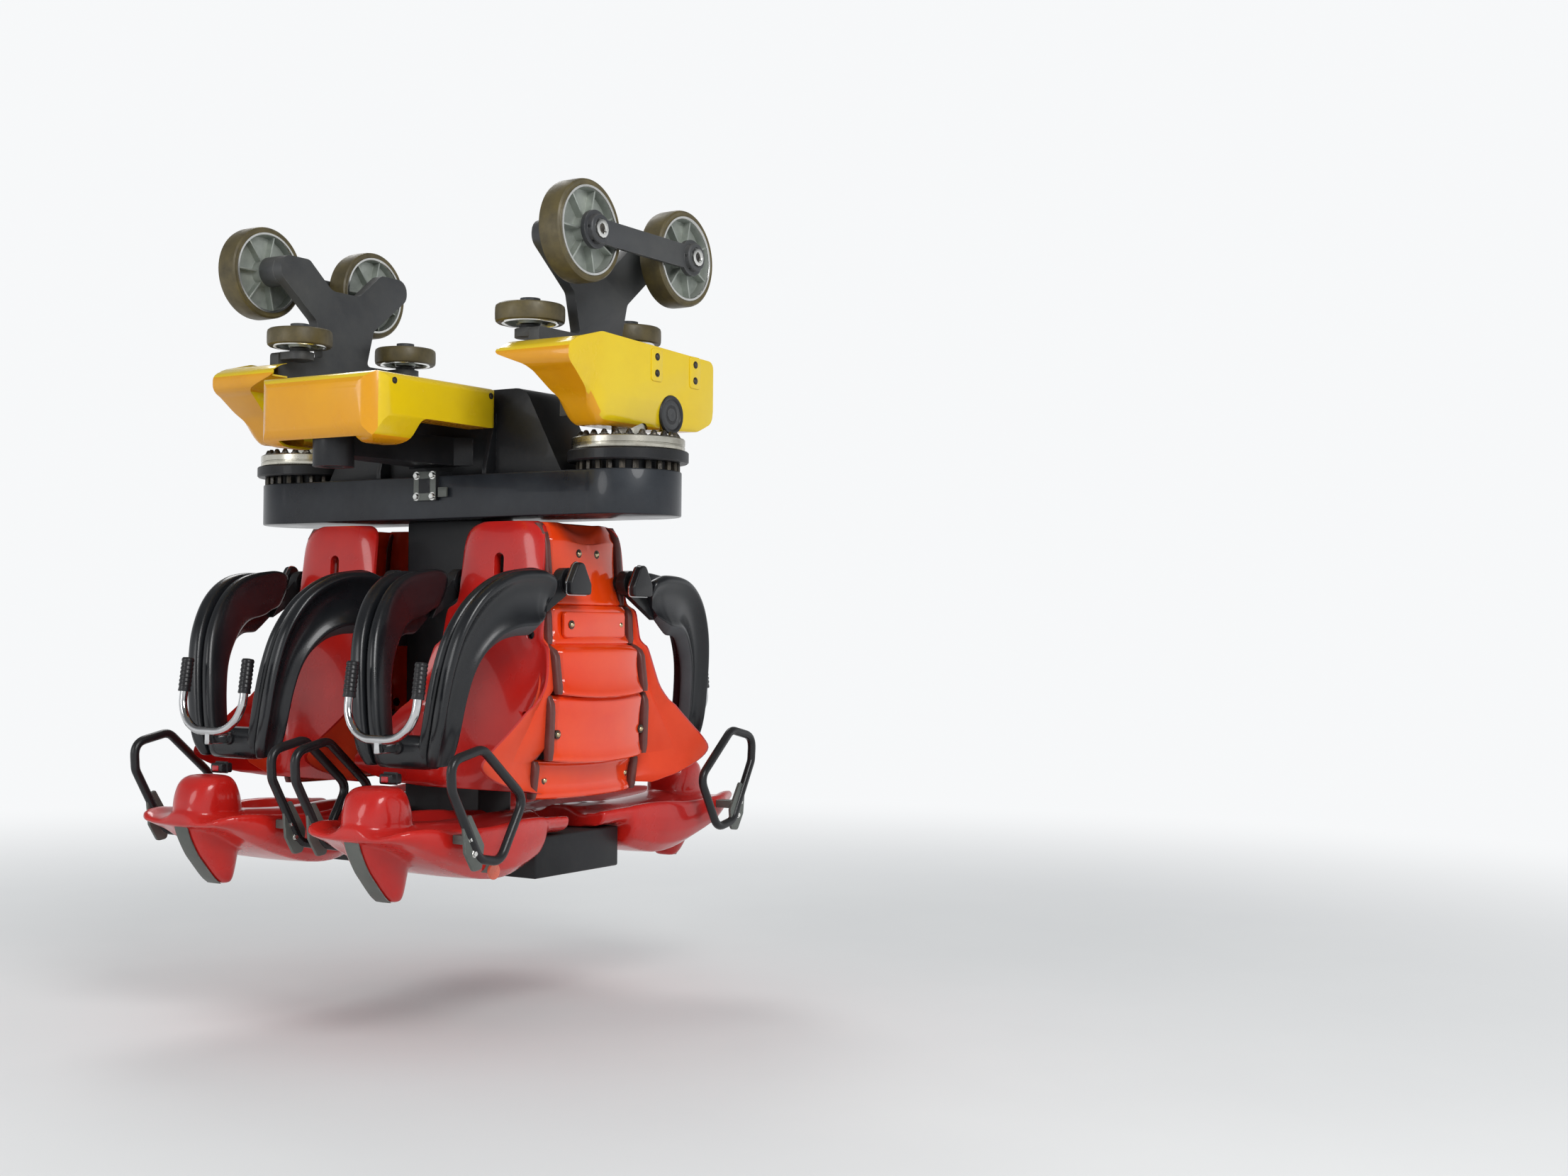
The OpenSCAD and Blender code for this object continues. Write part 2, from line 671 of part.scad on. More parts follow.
// Hood drawn in by d: side, plan and front outlines with rounded corners, crossed
module hood_form(d) {
    x1 = -tower_x / 2 - hood_gap - d;
    x0 = -tower_x / 2 - hood_gap - hood_l + d;
    top = -tower_drop - d;
    floor_z = -tower_drop - hood_h + d;
    nose_z = floor_z - hood_nose;
    w = hood_w / 2 - d;
    side_outline = [
        [x0, top, 44 - d], [x0 + 6, nose_z, 60 - d], [x0 + 165, nose_z, 50 - d],
        [x0 + 200, floor_z, 30], [x1, floor_z, 30 - d], [x1, top, 20 - d]
    ];
    plan_outline = [[x0, -w, 80 - d], [x1, -w, 30 - d], [x1, w, 30 - d], [x0, w, 80 - d]];
    nose_w = w - 26;
    front_outline = [
        [-w, top, 26 - d], [-w, floor_z, 34 - d], [-nose_w, nose_z, 44 - d],
        [nose_w, nose_z, 44 - d], [w, floor_z, 34 - d], [w, top, 26 - d]
    ];
    intersection() {
        side_plate(rounded(side_outline), -hood_w, hood_w);
        translate([0, 0, nose_z - 1])
            linear_extrude(hood_h + hood_nose + 2) polygon(rounded(plan_outline, 8));
        front_plate(rounded(front_outline), x0 - 1, x1 + 1);
    }
}

// Moulded hood over the front coupling: a flat bonnet with a deeper nose
module coupler_hood() {
    x1 = -tower_x / 2 - hood_gap;
    x0 = x1 - hood_l;
    floor_z = -tower_drop - hood_h;
    color(cover_yellow) difference() {
        hood_form(0);
        hood_form(hood_wall);
        translate([x0 + 24, -hood_w * 0.32, floor_z - hood_nose - 1])
            cube([hood_l, hood_w * 0.64, hood_h + hood_nose - 30]);
    }
}

// Reach of the pad that carries a seat back: it ends behind the shell at its top edge
pad_half_h = 30;
function rear_x(drop) =
    lookup(drop - pad_half_h, [for (s = back_stations()) [s[0], s[2]]]) - shell_t - seat_fit;

// Column between the seat backs and the lower box that carries the seat pans
module backbone() {
    box_z = seat_z - pan_drop - 46 - seat_fit;
    color(black_paint) {
        translate([-column_x / 2, -column_y / 2, box_z - 10])
            cube([column_x, column_y, beam_z - box_z + 10]);
        translate([-box_x, -box_y, box_z - box_h]) cube([2 * box_x, 2 * box_y, box_h]);
    }
}

// Two tubes across the car that the harnesses swing on, with lugs to the column
module hinge_tubes() {
    tube_y = seat_y + arm_y + arm_t / 2 + 20;
    lug_y = seat_y - arm_y - arm_t / 2 - 6 - 2;
    root = column_x / 2 + seat_fit;
    color(black_paint) for (x = [-1, 1]) scale_x(x) {
        rod_y(hinge_x, seat_z - hinge_drop, -tube_y, tube_y, hinge_d, 64);
        for (y = [-1, 1]) on_side(y)
            translate([root, lug_y - 24, seat_z - hinge_drop - 28]) cube([hinge_x - root, 24, 56]);
    }
}

// Cross beams from the column to the seat backs and to the side panels
module seat_beams() {
    beam_y = panel_back - seat_fit;
    root = column_y / 2 + seat_fit;
    color(black_paint) for (drop = beam_drops, y = [-1, 1]) on_side(y) {
        translate([-50, root, seat_z - drop - 40]) cube([100, beam_y - 8 - root, 80]);
        translate([-rim_x(drop), beam_y - 10, seat_z - drop - 40]) cube([2 * rim_x(drop), 10, 80]);
        translate([-rear_x(drop), seat_y - 40, seat_z - drop - pad_half_h])
            cube([2 * rear_x(drop), 80, 2 * pad_half_h]);
    }
}

// Tiers of a side panel: drop below the top, half length, reach at top and foot
TIERS = [
    [240, -67, -90, -67],
    [115, -42, -58, -50],
    [145, -31, -20, 0],
    [188, -11, -12, -20],
    [115, 0, -60, -77]
];
function tier_top(i) = i == 0 ? 0 : tier_top(i - 1) + TIERS[i - 1][0];

// Half length of the plate that a side panel is bolted to with its rim
function rim_x(drop) = panel_x + (drop < tier_top(2) ? TIERS[1][1] : TIERS[3][1]) - 72;

// Section of a tier at reach y, half length x, drawn in by d, open to the inside
function tier_ring(x, y, z, d) =
    let (c = 14, back = panel_back - (d > 0 ? 1 : 0), slant = 64)
    [for (p = rounded([
        [-x + slant + d, back, 0], [x - slant - d, back, 0],
        [x - d, y - 16 - d / 2, c], [0, y + 8 - d, 160], [-x + d, y - 16 - d / 2, c]
    ], 4)) [p.x, p.y, z]];

// Tier i of a side panel, drawn in by d; the hollow runs on into the tier below
module tier(i, d) {
    x = panel_x + TIERS[i][1];
    top = tier_top(i) + d;
    last = i == len(TIERS) - 1;
    foot = tier_top(i) + TIERS[i][0] + (d == 0 ? 0 : last ? 1 : d + 1);
    y0 = panel_y + TIERS[i][2];
    y1 = panel_y + TIERS[i][3];
    loft([tier_ring(x - 8, y1, -foot, d), tier_ring(x, y0, -top, d)]);
}

// Stepped side panels between the two rows of seats, hollow and open inwards
module side_panels() {
    color(panel_orange) for (side = [-1, 1]) on_side(side) translate([0, 0, seat_z])
        difference() {
            for (i = [0:len(TIERS) - 1]) tier(i, 0);
            for (i = [0:len(TIERS) - 1]) tier(i, panel_wall);
            for (x = [-1, 1])
                rod_y(x * hinge_x, -hinge_drop, panel_back - 2, panel_y, hinge_d + 6, 48);
        }
}

// Stations of a seat back: drop, half width, front at the middle, side bolster reach
function back_stations() = [
    [0, head_w * 0.55, back_x - 70, 0],
    [14, head_w * 0.84, back_x - 58, 2],
    [44, head_w * 0.97, back_x - 50, 4],
    [150, head_w, back_x - 44, 6],
    [232, head_w * 1.02, back_x - 38, 8],
    [258, head_w * 1.18, back_x - 28, 12],
    [340, head_w * 1.2, back_x - 16, 16],
    [372, head_w * 1.4, back_x - 12, 18],
    [440, lerp(head_w, hip_w, 0.92), back_x - 4, 26],
    [490, hip_w, back_x, 44],
    [600, hip_w * 1.01, back_x + 2, wing_reach * 0.63],
    [685, hip_w, back_x + 8, wing_reach - 8],
    [back_h - 38, hip_w * 0.98, back_x + 12, wing_reach * 0.6],
    [back_h, hip_w * 0.94, back_x + 12, 20]
];
// Ring of one station: a dished shell, thin at its edges, with bolsters that reach
// forward; the share of the reach grows with the power of the place across the seat
function back_ring(s) =
    let (
        w = s[1], x = s[2], reach = s[3],
        thick = function(v) shell_t - (shell_t - edge_t) * max(0, (abs(v) - 0.6) / 0.4),
        front = function(v) x + reach * pow(abs(v), 7)
    )
    [for (p = concat(
        [for (i = [-6:6]) let (v = i / 6) [front(v), w * v]],
        [for (i = [6:-1:-6]) let (v = i / 6) [front(v) - thick(v), (w + 2) * v]]
    )) [p.x, p.y, -s[0]]];

// Moulded seat back with a slot at the head and four round holes
module seat_back(facing, side) {
    st = back_stations();
    holes = [[-0.62, 330], [0.62, 330], [-0.62, 560], [0.62, 560]];
    color(seat_red) at_seat(facing, side) difference() {
        loft([for (i = [len(st) - 1:-1:0]) back_ring(st[i])]);
        for (z = [-110, -150]) translate([back_x - 60, 0, z]) rotate([0, 90, 0])
            cylinder(h = 80, d = 36);
        translate([back_x - 60, -18, -150]) cube([80, 36, 40]);
        for (h = holes) translate([back_x - 60, h[0] * hip_w, -h[1]]) rotate([0, 90, 0])
            cylinder(h = 90, d = seat_hole_d);
    }
}

// Stations of a seat pan: place along the track, half width, thigh, edge, foot
function pan_stations() = [
    [82, 0.78, -2, 8, -42],
    [box_x + 0.3, 0.86, -4, 14, -42],
    [box_x + 14, 0.88, -4, 16, -96],
    [box_x + 60, 0.92, -6, 20, -118],
    [350, 0.98, -10, 22, -140],
    [450, 1.0, -8, 14, -136],
    [550, 1.0, -2, 14, -110],
    [640, 1.0, 6, 20, -76],
    [710, 0.90, 12, 26, -40],
    [pan_front - 20, 0.78, 10, 20, -14],
    [pan_front, 0.66, 2, 6, -8]
];
// Ring of one station: dished thigh supports each side of a raised middle
function pan_ring(s) =
    let (
        w = pan_w * s[1], top = -pan_drop + s[2], edge = -pan_drop + s[3], foot = -pan_drop + s[4],
        half = [[0.24, top + 20], [0.36, top + 4], [0.52, top - 6], [0.72, top - 2], [0.9, edge], [1, edge - 4]],
        low = [[1, lerp(edge, foot, 0.35)], [0.92, lerp(edge, foot, 0.7)], [0.7, foot], [0.3, foot - 4]],
        right = concat([for (p = half) [w * p.x, p.y]], [for (p = low) [w * p.x, p.y]]),
        n = len(right)
    )
    concat([for (p = right) [s[0], -p.x, p.y]],
        [for (i = [n - 1:-1:0]) [s[0], right[i].x, right[i].y]]);

// Stations of the saddle horn from its foot up: drop, middle, half depth, half width
function horn_stations() = [
    [1051, 640, 22, 0.45],
    [1010, 656, 48, 0.62],
    [950, 674, 76, 0.8],
    [884, 688, 96, 0.94],
    [820, 690, 98, 1.0],
    [horn_top + 36, 692, 80, 0.96],
    [horn_top + 10, 690, 60, 0.84],
    [horn_top, 688, 38, 0.6]
];

// Seat pan: saddle with thigh supports and the tall horn between the legs
module seat_pan(facing, side) {
    color(seat_red) at_seat(facing, side) {
        loft([for (s = pan_stations()) pan_ring(s)]);
        loft([for (s = horn_stations())
            [for (p = oval(s[2], horn_w * s[3], 0.7, 20)) [s[1] + p.x, p.y, -s[0]]]]);
    }
}

// Corners of a hand loop seen from the side: place along the track and drop
LOOP = [
    [594, -630], [718, -656], [712, -734],
    [606, -918], [520, -934], [424, -772]
];

// Bent hand loop with its clamp bracket on the side of the seat pan
module hand_loop() {
    clamp = rounded([
        [588, -882, 8], [642, -798, 8], [672, -812, 8],
        [662, -900, 12], [630, -950, 14], [596, -946, 14]
    ], 3);
    translate([0, loop_y, 0]) rotate([90, 0, 0])
        tube(rounded([for (p = LOOP) [p.x, p.y, loop_bend]], 3), loop_d, true);
    side_plate(clamp, loop_y - bracket_t / 2, loop_y + bracket_t / 2);
    translate([600, pan_w + seat_fit, -880]) cube([40, loop_y - pan_w - seat_fit, 24]);
}
module hand_loops(facing) {
    color(black_paint) for (side = [-1, 1]) at_seat(facing, side)
        for (hand = [-1, 1]) scale_y(hand) hand_loop();
}
module scale_y(hand) {
    if (hand > 0) children();
    else mirror([0, 1, 0]) children();
}

// Belt from the saddle horn up to the harness, with its buckle
module lap_straps() {
    color(pad_black) for (facing = [-1, 1], side = [-1, 1]) at_seat(facing, side)
        strap();
}
module strap() {
    top = -lap_drop - 46 - 5;
    translate([612, -24, -horn_top + seat_fit]) cube([56, 48, top + horn_top - seat_fit]);
}

// Hinge arms of a harness: bosses on the hinge tube and plates to the pad ends
module harness_frame(facing, side) {
    z = -hinge_drop;
    pad = pad_stations()[0];
    end = [for (b = [-1, 1])
        [pad[0] - seat_fit * cos(pad[2]) - b * 44 * sin(pad[2]),
            pad[1] - seat_fit * sin(pad[2]) + b * 44 * cos(pad[2]), 0]];
    arm = rounded([
        [hinge_x - 34, z, 0], [hinge_x - 10, z - 34, 0], end[0], end[1], [hinge_x + 10, z + 34, 0]
    ]);
    color(black_paint) at_seat(facing, side) for (hand = [-1, 1]) scale_y(hand)
        difference() {
            union() {
                rod_y(hinge_x, z, arm_y - arm_t / 2 - 6, arm_y + arm_t / 2 + 6, boss_d, 64);
                side_plate(arm, arm_y - arm_t / 2, arm_y + arm_t / 2);
            }
            rod_y(hinge_x, z, arm_y - arm_t, arm_y + arm_t, hinge_d + 2 * hinge_fit, 64);
        }
}

// Stations of a shoulder pad: along the track, height, direction of the pad,
// half breadth, share of the half thickness, distance from the middle of the seat
function pad_stations() = [
    [254, -246, 30, 50, 0.5, 206],
    [268, -240, 26, 86, 0.9, 206],
    [320, -238, 6, 94, 1.0, 206],
    [400, -246, -16, 92, 1.0, 198],
    [470, -282, -38, 84, 1.0, 180],
    [522, -345, -58, 72, 1.0, 162],
    [552, -415, -72, 60, 1.0, 148],
    [568, -500, -81, 54, 1.0, 134],
    [575, -590, -87, 52, 1.0, 120],
    [575, -650, -92, 50, 0.96, 106],
    [571, -690, -96, 38, 0.7, 98]
];
function pad_ring(s) = [
    for (p = oval(s[3], pad_half * s[4], 0.8, 16))
        [s[0] - p.x * sin(s[2]), s[5] - p.y, s[1] + p.x * cos(s[2])]
];
module pad_arm() {
    loft([for (s = pad_stations()) pad_ring(s)]);
}

// Padded shoulder bows of a harness, joined by the lap pad
module harness_pad(facing, side) {
    color(pad_black) at_seat(facing, side) {
        for (hand = [-1, 1]) scale_y(hand) pad_arm();
        loft([for (y = [-106, -92, 92, 106])
            [for (p = oval(abs(y) > 100 ? 30 : 40, abs(y) > 100 ? 36 : 46, 0.7, 16))
                [lap_x + p.x, y, -lap_drop - p.y]]]);
    }
}

// Bent handle in front of the harness, on a stem from the lap pad, with two grips
module harness_handle(facing, side) {
    foot = [688, -612];
    lean = 8;
    half = handle_w / 2;
    path = concat(
        [[-half, 112]],
        corner_arc([-half, 112], [-half, 0], [half, 0], 96, 6),
        corner_arc([-half, 0], [half, 0], [half, 112], 96, 6),
        [[half, 112]]
    );
    color(chrome) at_seat(facing, side) {
        translate([foot.x, 0, foot.y]) rotate([0, -lean, 0]) rotate([90, 0, 90]) {
            tube(path, handle_d, false, 12);
            for (y = [-1, 1]) translate([y * half, 111, 0]) rotate([-90, 0, 0])
                cylinder(h = grip_l, d = grip_d, $fn = 32);
        }
        translate([lap_x + 40 + seat_fit, -9, foot.y - 38]) cube([foot.x + 9 - lap_x - 40 - seat_fit, 18, 26]);
        translate([foot.x - 9, -9, foot.y - 38]) cube([18, 18, 38]);
    }
}

yoke_beam();
tower();
rear_clevis();
slew_rings();
coupler_arm();
coupler_hood();
backbone();
hinge_tubes();
seat_beams();
side_panels();
seat_back(-1, -1);  // seat_back_front_left
seat_back(-1, 1);  // seat_back_front_right
seat_back(1, -1);  // seat_back_rear_left
seat_back(1, 1);  // seat_back_rear_right
seat_pan(-1, -1);  // seat_pan_front_left
seat_pan(-1, 1);  // seat_pan_front_right
seat_pan(1, -1);  // seat_pan_rear_left
seat_pan(1, 1);  // seat_pan_rear_right
hand_loops(-1);  // hand_loops_front
hand_loops(1);  // hand_loops_rear
lap_straps();
turret(-1);  // turret_left
turret(1);  // turret_right
bogie_frame(-1);  // bogie_frame_left
bogie_frame(1);  // bogie_frame_right
wheel_link(-1);  // wheel_link_left
wheel_link(1);  // wheel_link_right
bogie_cover(-1);  // bogie_cover_left
bogie_cover(1);  // bogie_cover_right
road_wheel(-1, -1);  // road_wheel_left_front
road_wheel(-1, 1);  // road_wheel_left_rear
road_wheel(1, -1);  // road_wheel_right_front
road_wheel(1, 1);  // road_wheel_right_rear
side_wheel(-1, -1);  // side_wheel_left_front
side_wheel(-1, 1);  // side_wheel_left_rear
side_wheel(1, -1);  // side_wheel_right_front
side_wheel(1, 1);  // side_wheel_right_rear
stop_wheel(-1, -1);  // stop_wheel_left_front
stop_wheel(-1, 1);  // stop_wheel_left_rear
stop_wheel(1, -1);  // stop_wheel_right_front
stop_wheel(1, 1);  // stop_wheel_right_rear
harness_frame(-1, -1);  // harness_frame_front_left
harness_frame(-1, 1);  // harness_frame_front_right
harness_frame(1, -1);  // harness_frame_rear_left
harness_frame(1, 1);  // harness_frame_rear_right
harness_pad(-1, -1);  // harness_pad_front_left
harness_pad(-1, 1);  // harness_pad_front_right
harness_pad(1, -1);  // harness_pad_rear_left
harness_pad(1, 1);  // harness_pad_rear_right
harness_handle(-1, -1);  // harness_handle_front_left
harness_handle(-1, 1);  // harness_handle_front_right
harness_handle(1, -1);  // harness_handle_rear_left
harness_handle(1, 1);  // harness_handle_rear_right
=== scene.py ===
# %% [markdown]
# # Car of a suspended roller coaster
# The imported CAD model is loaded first. Its bodies and joints stay as they are, and everything
# below only dresses it: moulded seats, pads, wheels and trim are modelled over the plain solids,
# and each finish becomes a procedural material.

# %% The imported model
import json
import math

import bpy
from mathutils import Matrix, Vector

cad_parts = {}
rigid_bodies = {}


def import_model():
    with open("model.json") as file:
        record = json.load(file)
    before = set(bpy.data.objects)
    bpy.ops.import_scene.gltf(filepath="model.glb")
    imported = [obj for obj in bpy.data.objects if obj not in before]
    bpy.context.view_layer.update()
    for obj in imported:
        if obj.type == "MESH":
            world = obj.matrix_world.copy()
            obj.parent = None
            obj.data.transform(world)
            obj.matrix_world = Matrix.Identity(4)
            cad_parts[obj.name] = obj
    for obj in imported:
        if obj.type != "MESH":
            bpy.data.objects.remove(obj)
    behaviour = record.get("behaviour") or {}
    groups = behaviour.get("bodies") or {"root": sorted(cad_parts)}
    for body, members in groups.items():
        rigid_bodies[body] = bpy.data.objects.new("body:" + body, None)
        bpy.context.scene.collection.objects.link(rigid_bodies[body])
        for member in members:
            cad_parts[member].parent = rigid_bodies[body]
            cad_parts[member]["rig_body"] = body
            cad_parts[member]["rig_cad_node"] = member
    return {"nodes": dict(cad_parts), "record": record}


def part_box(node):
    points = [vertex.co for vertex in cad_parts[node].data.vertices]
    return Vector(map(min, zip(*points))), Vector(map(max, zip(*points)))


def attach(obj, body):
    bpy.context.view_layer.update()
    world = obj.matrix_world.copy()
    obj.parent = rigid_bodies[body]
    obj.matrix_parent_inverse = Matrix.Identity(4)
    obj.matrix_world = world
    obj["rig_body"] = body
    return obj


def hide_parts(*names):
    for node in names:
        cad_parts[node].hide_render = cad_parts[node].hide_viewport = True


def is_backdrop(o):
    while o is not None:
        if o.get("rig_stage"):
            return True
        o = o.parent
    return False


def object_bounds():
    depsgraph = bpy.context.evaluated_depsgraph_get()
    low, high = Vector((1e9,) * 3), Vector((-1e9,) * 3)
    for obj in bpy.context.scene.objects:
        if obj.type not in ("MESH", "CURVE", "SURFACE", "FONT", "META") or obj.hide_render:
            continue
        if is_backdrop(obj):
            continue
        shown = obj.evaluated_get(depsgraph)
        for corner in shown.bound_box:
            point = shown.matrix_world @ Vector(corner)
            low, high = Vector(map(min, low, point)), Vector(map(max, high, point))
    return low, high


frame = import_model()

cad_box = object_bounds()
nodes = frame["nodes"]
print("CAD nodes:", len(nodes), "box", [round(v, 3) for c in cad_box for v in c])

# %% [markdown]
# ## Camera
# The photograph was taken from the left front, level with the riders' chests. The place and the
# lens were worked out from sizes that repeat on the car, so the render frames the car as the
# photograph does. The columns of the matrix are the camera's right, up and back directions.

# %% Camera
yaw, pitch, roll = (math.radians(a) for a in (58.13, 1.20, 0.43))
forward = Vector((math.sin(yaw) * math.cos(pitch), math.cos(yaw) * math.cos(pitch), math.sin(pitch)))
level_right = forward.cross(Vector((0, 0, 1))).normalized()
level_up = level_right.cross(forward)
right = math.cos(roll) * level_right + math.sin(roll) * level_up
up = right.cross(forward)

bpy.ops.object.camera_add(location=(-4.37, -3.894, -0.888))
camera = bpy.context.object
camera.name = "photo_camera"
camera.rotation_mode = "QUATERNION"
camera.rotation_quaternion = Matrix((right, up, -forward)).transposed().to_quaternion()
camera.data.sensor_width = 36.0
camera.data.lens = 42.9
camera.data.clip_start, camera.data.clip_end = 0.05, 80
bpy.context.scene.camera = camera
print("camera at", tuple(round(v, 2) for v in camera.location), "lens", camera.data.lens)

# %% [markdown]
# ## Light
# A plain studio: one large soft lamp on the camera's side, a weaker one high behind the car and a
# faint one in front of it. Disc lamps are used because their edges leave soft round highlights.

# %% Lamps
def area_lamp(name, place, aim, size, power):
    bpy.ops.object.light_add(type="AREA", location=place)
    lamp = bpy.context.object
    lamp.name = name
    lamp.data.shape = "DISK"
    lamp.data.size = size
    lamp.data.energy = power
    lamp.rotation_euler = (Vector(aim) - Vector(place)).to_track_quat("-Z", "Y").to_euler()


LAMPS = [("key_lamp", (-3.0, -5.4, 2.8), (0, -0.2, -0.7), 3.0, 230),
         ("fill_lamp", (3.2, 3.8, 4.0), (0, 0, -0.8), 3.0, 120),
         ("front_lamp", (-6.0, 1.5, 0.8), (0, 0, -0.9), 2.5, 60)]
for lamp_row in LAMPS:
    area_lamp(*lamp_row)
print("lamps:", len(LAMPS))

# %% [markdown]
# The world gives even light from all round. What the camera sees of it is a white wall, which is a
# colour and no extra light on the car. Reflections also see the wall darken towards the ceiling,
# because black glossy foam needs something dark to mirror. A small helper wires every node below:
# a number or colour is written into its socket, and another node's socket is linked to it.

# %% World
def node(tree, kind, links=None, **settings):
    made = tree.nodes.new("ShaderNode" + kind)
    for key, value in settings.items():
        setattr(made, key, value)
    for socket, source in (links or {}).items():
        if isinstance(source, bpy.types.NodeSocket):
            tree.links.new(source, made.inputs[socket])
        else:
            made.inputs[socket].default_value = source
    return made


WALL_WHITE = (0.93, 0.94, 0.95, 1)
bpy.context.scene.view_settings.view_transform = "Standard"
world = bpy.data.worlds.new("studio_world")
bpy.context.scene.world = world
world.use_nodes = True
air = world.node_tree
air.nodes.clear()
rays = node(air, "LightPath")
seen = node(air, "Math", {0: rays.outputs["Is Camera Ray"], 1: rays.outputs["Is Transmission Ray"]},
            operation="MAXIMUM")
soft_light = node(air, "Background", {"Color": (0.92, 0.96, 1.0, 1), "Strength": 0.55})
direction = node(air, "TexCoord")
heights = node(air, "SeparateXYZ", {0: direction.outputs["Generated"]})
ceiling = node(air, "MapRange", {"Value": heights.outputs["Z"], "From Min": 0.05, "From Max": 0.55,
                                 "To Min": 0.93, "To Max": 0.18})
mirrored = node(air, "Background", {"Color": (0.93, 0.95, 0.97, 1),
                                    "Strength": ceiling.outputs["Result"]})
white_wall = node(air, "Background", {"Color": WALL_WHITE})
lit = node(air, "MixShader", {0: rays.outputs["Is Glossy Ray"], 1: soft_light.outputs[0],
                              2: mirrored.outputs[0]})
mixed = node(air, "MixShader", {0: seen.outputs[0], 1: lit.outputs[0], 2: white_wall.outputs[0]})
node(air, "OutputWorld", {"Surface": mixed.outputs[0]})
print("world nodes:", len(air.nodes))

# %% [markdown]
# ## Shared surface effects
# Paint, plastic and rubber on a ride share a few effects: colour that clouds a little, dust on
# what faces up, light scuffs along edges, and a fine bump. Each is a node group with named
# sockets, so a material only sets its own numbers.

# %% A new group and two small sums
def new_group(name, inputs, outputs):
    group = bpy.data.node_groups.new(name, "ShaderNodeTree")
    for label, kind, value in inputs:
        socket = group.interface.new_socket(name=label, in_out="INPUT", socket_type=kind)
        socket.default_value = value
    for label, kind in outputs:
        group.interface.new_socket(name=label, in_out="OUTPUT", socket_type=kind)
    return group, group.nodes.new("NodeGroupInput"), group.nodes.new("NodeGroupOutput")


def ramp(tree, source, low, high):
    made = node(tree, "MapRange", {"Value": source, "From Min": low, "From Max": high})
    return made.outputs["Result"]


def multiply(tree, a, b):
    return node(tree, "Math", {0: a, 1: b}, operation="MULTIPLY").outputs[0]


FLOAT, COLOUR, VECTOR = "NodeSocketFloat", "NodeSocketColor", "NodeSocketVector"
print("group helpers ready")

# %% [markdown]
# No moulded or painted face has one flat colour. A soft noise, stretched to full contrast, mixes a
# second colour into the main one, and its mask also varies the roughness later.

# %% Clouds of colour
clouds, get, put = new_group(
    "colour_clouds",
    [("Place", VECTOR, (0, 0, 0)), ("Main", COLOUR, (1, 1, 1, 1)), ("Second", COLOUR, (1, 1, 1, 1)),
     ("Scale", FLOAT, 5.0)],
    [("Colour", COLOUR), ("Mask", FLOAT)])
cloud = node(clouds, "TexNoise", {"Vector": get.outputs["Place"], "Scale": get.outputs["Scale"],
                                  "Detail": 5.0, "Roughness": 0.6})
cloud_mask = ramp(clouds, cloud.outputs["Fac"], 0.35, 0.75)
cloud_mix = node(clouds, "Mix", data_type="RGBA")
clouds.links.new(cloud_mask, cloud_mix.inputs["Factor"])
clouds.links.new(get.outputs["Main"], cloud_mix.inputs["A"])
clouds.links.new(get.outputs["Second"], cloud_mix.inputs["B"])
clouds.links.new(cloud_mix.outputs["Result"], put.inputs["Colour"])
clouds.links.new(cloud_mask, put.inputs["Mask"])
print("group:", clouds.name)

# %% [markdown]
# Edges lose their paint first. The Bevel node bends the normal near an edge, so the difference
# between it and the true normal finds edges without painting a mask. Noise breaks the line up.

# %% Worn edges
wear, get, put = new_group(
    "edge_wear",
    [("Place", VECTOR, (0, 0, 0)), ("Reach", FLOAT, 0.004), ("Amount", FLOAT, 0.5)],
    [("Mask", FLOAT)])
soft_normal = node(wear, "Bevel", {"Radius": get.outputs["Reach"]}, samples=4)
hard_normal = node(wear, "NewGeometry")
facing = node(wear, "VectorMath", {0: soft_normal.outputs[0], 1: hard_normal.outputs["Normal"]},
              operation="DOT_PRODUCT")
edge = ramp(wear, facing.outputs["Value"], 0.97, 0.75)
scuff = node(wear, "TexNoise", {"Vector": get.outputs["Place"], "Scale": 55.0, "Detail": 6.0})
scuffed = multiply(wear, edge, ramp(wear, scuff.outputs["Fac"], 0.42, 0.62))
wear.links.new(multiply(wear, scuffed, get.outputs["Amount"]), put.inputs["Mask"])
print("group:", wear.name)

# %% [markdown]
# Dust lies on what faces up, and a thin broken film of it on everything else, so the larger of the
# two masks is taken.

# %% Dust
dust, get, put = new_group(
    "settled_dust",
    [("Place", VECTOR, (0, 0, 0)), ("Amount", FLOAT, 0.3)],
    [("Mask", FLOAT)])
faces = node(dust, "NewGeometry")
split_normal = node(dust, "SeparateXYZ", {0: faces.outputs["Normal"]})
upward = ramp(dust, split_normal.outputs["Z"], 0.1, 1.0)
patch = node(dust, "TexNoise", {"Vector": get.outputs["Place"], "Scale": 14.0, "Detail": 8.0,
                                "Roughness": 0.7})
film = ramp(dust, patch.outputs["Fac"], 0.45, 0.8)
both = node(dust, "Math", {0: upward, 1: multiply(dust, film, 0.45)}, operation="MAXIMUM")
dust.links.new(multiply(dust, both.outputs[0], get.outputs["Amount"]), put.inputs["Mask"])
print("group:", dust.name)

# %% [markdown]
# Moulded and cast faces are never quite flat. The height is a fine noise with some slow ripple.

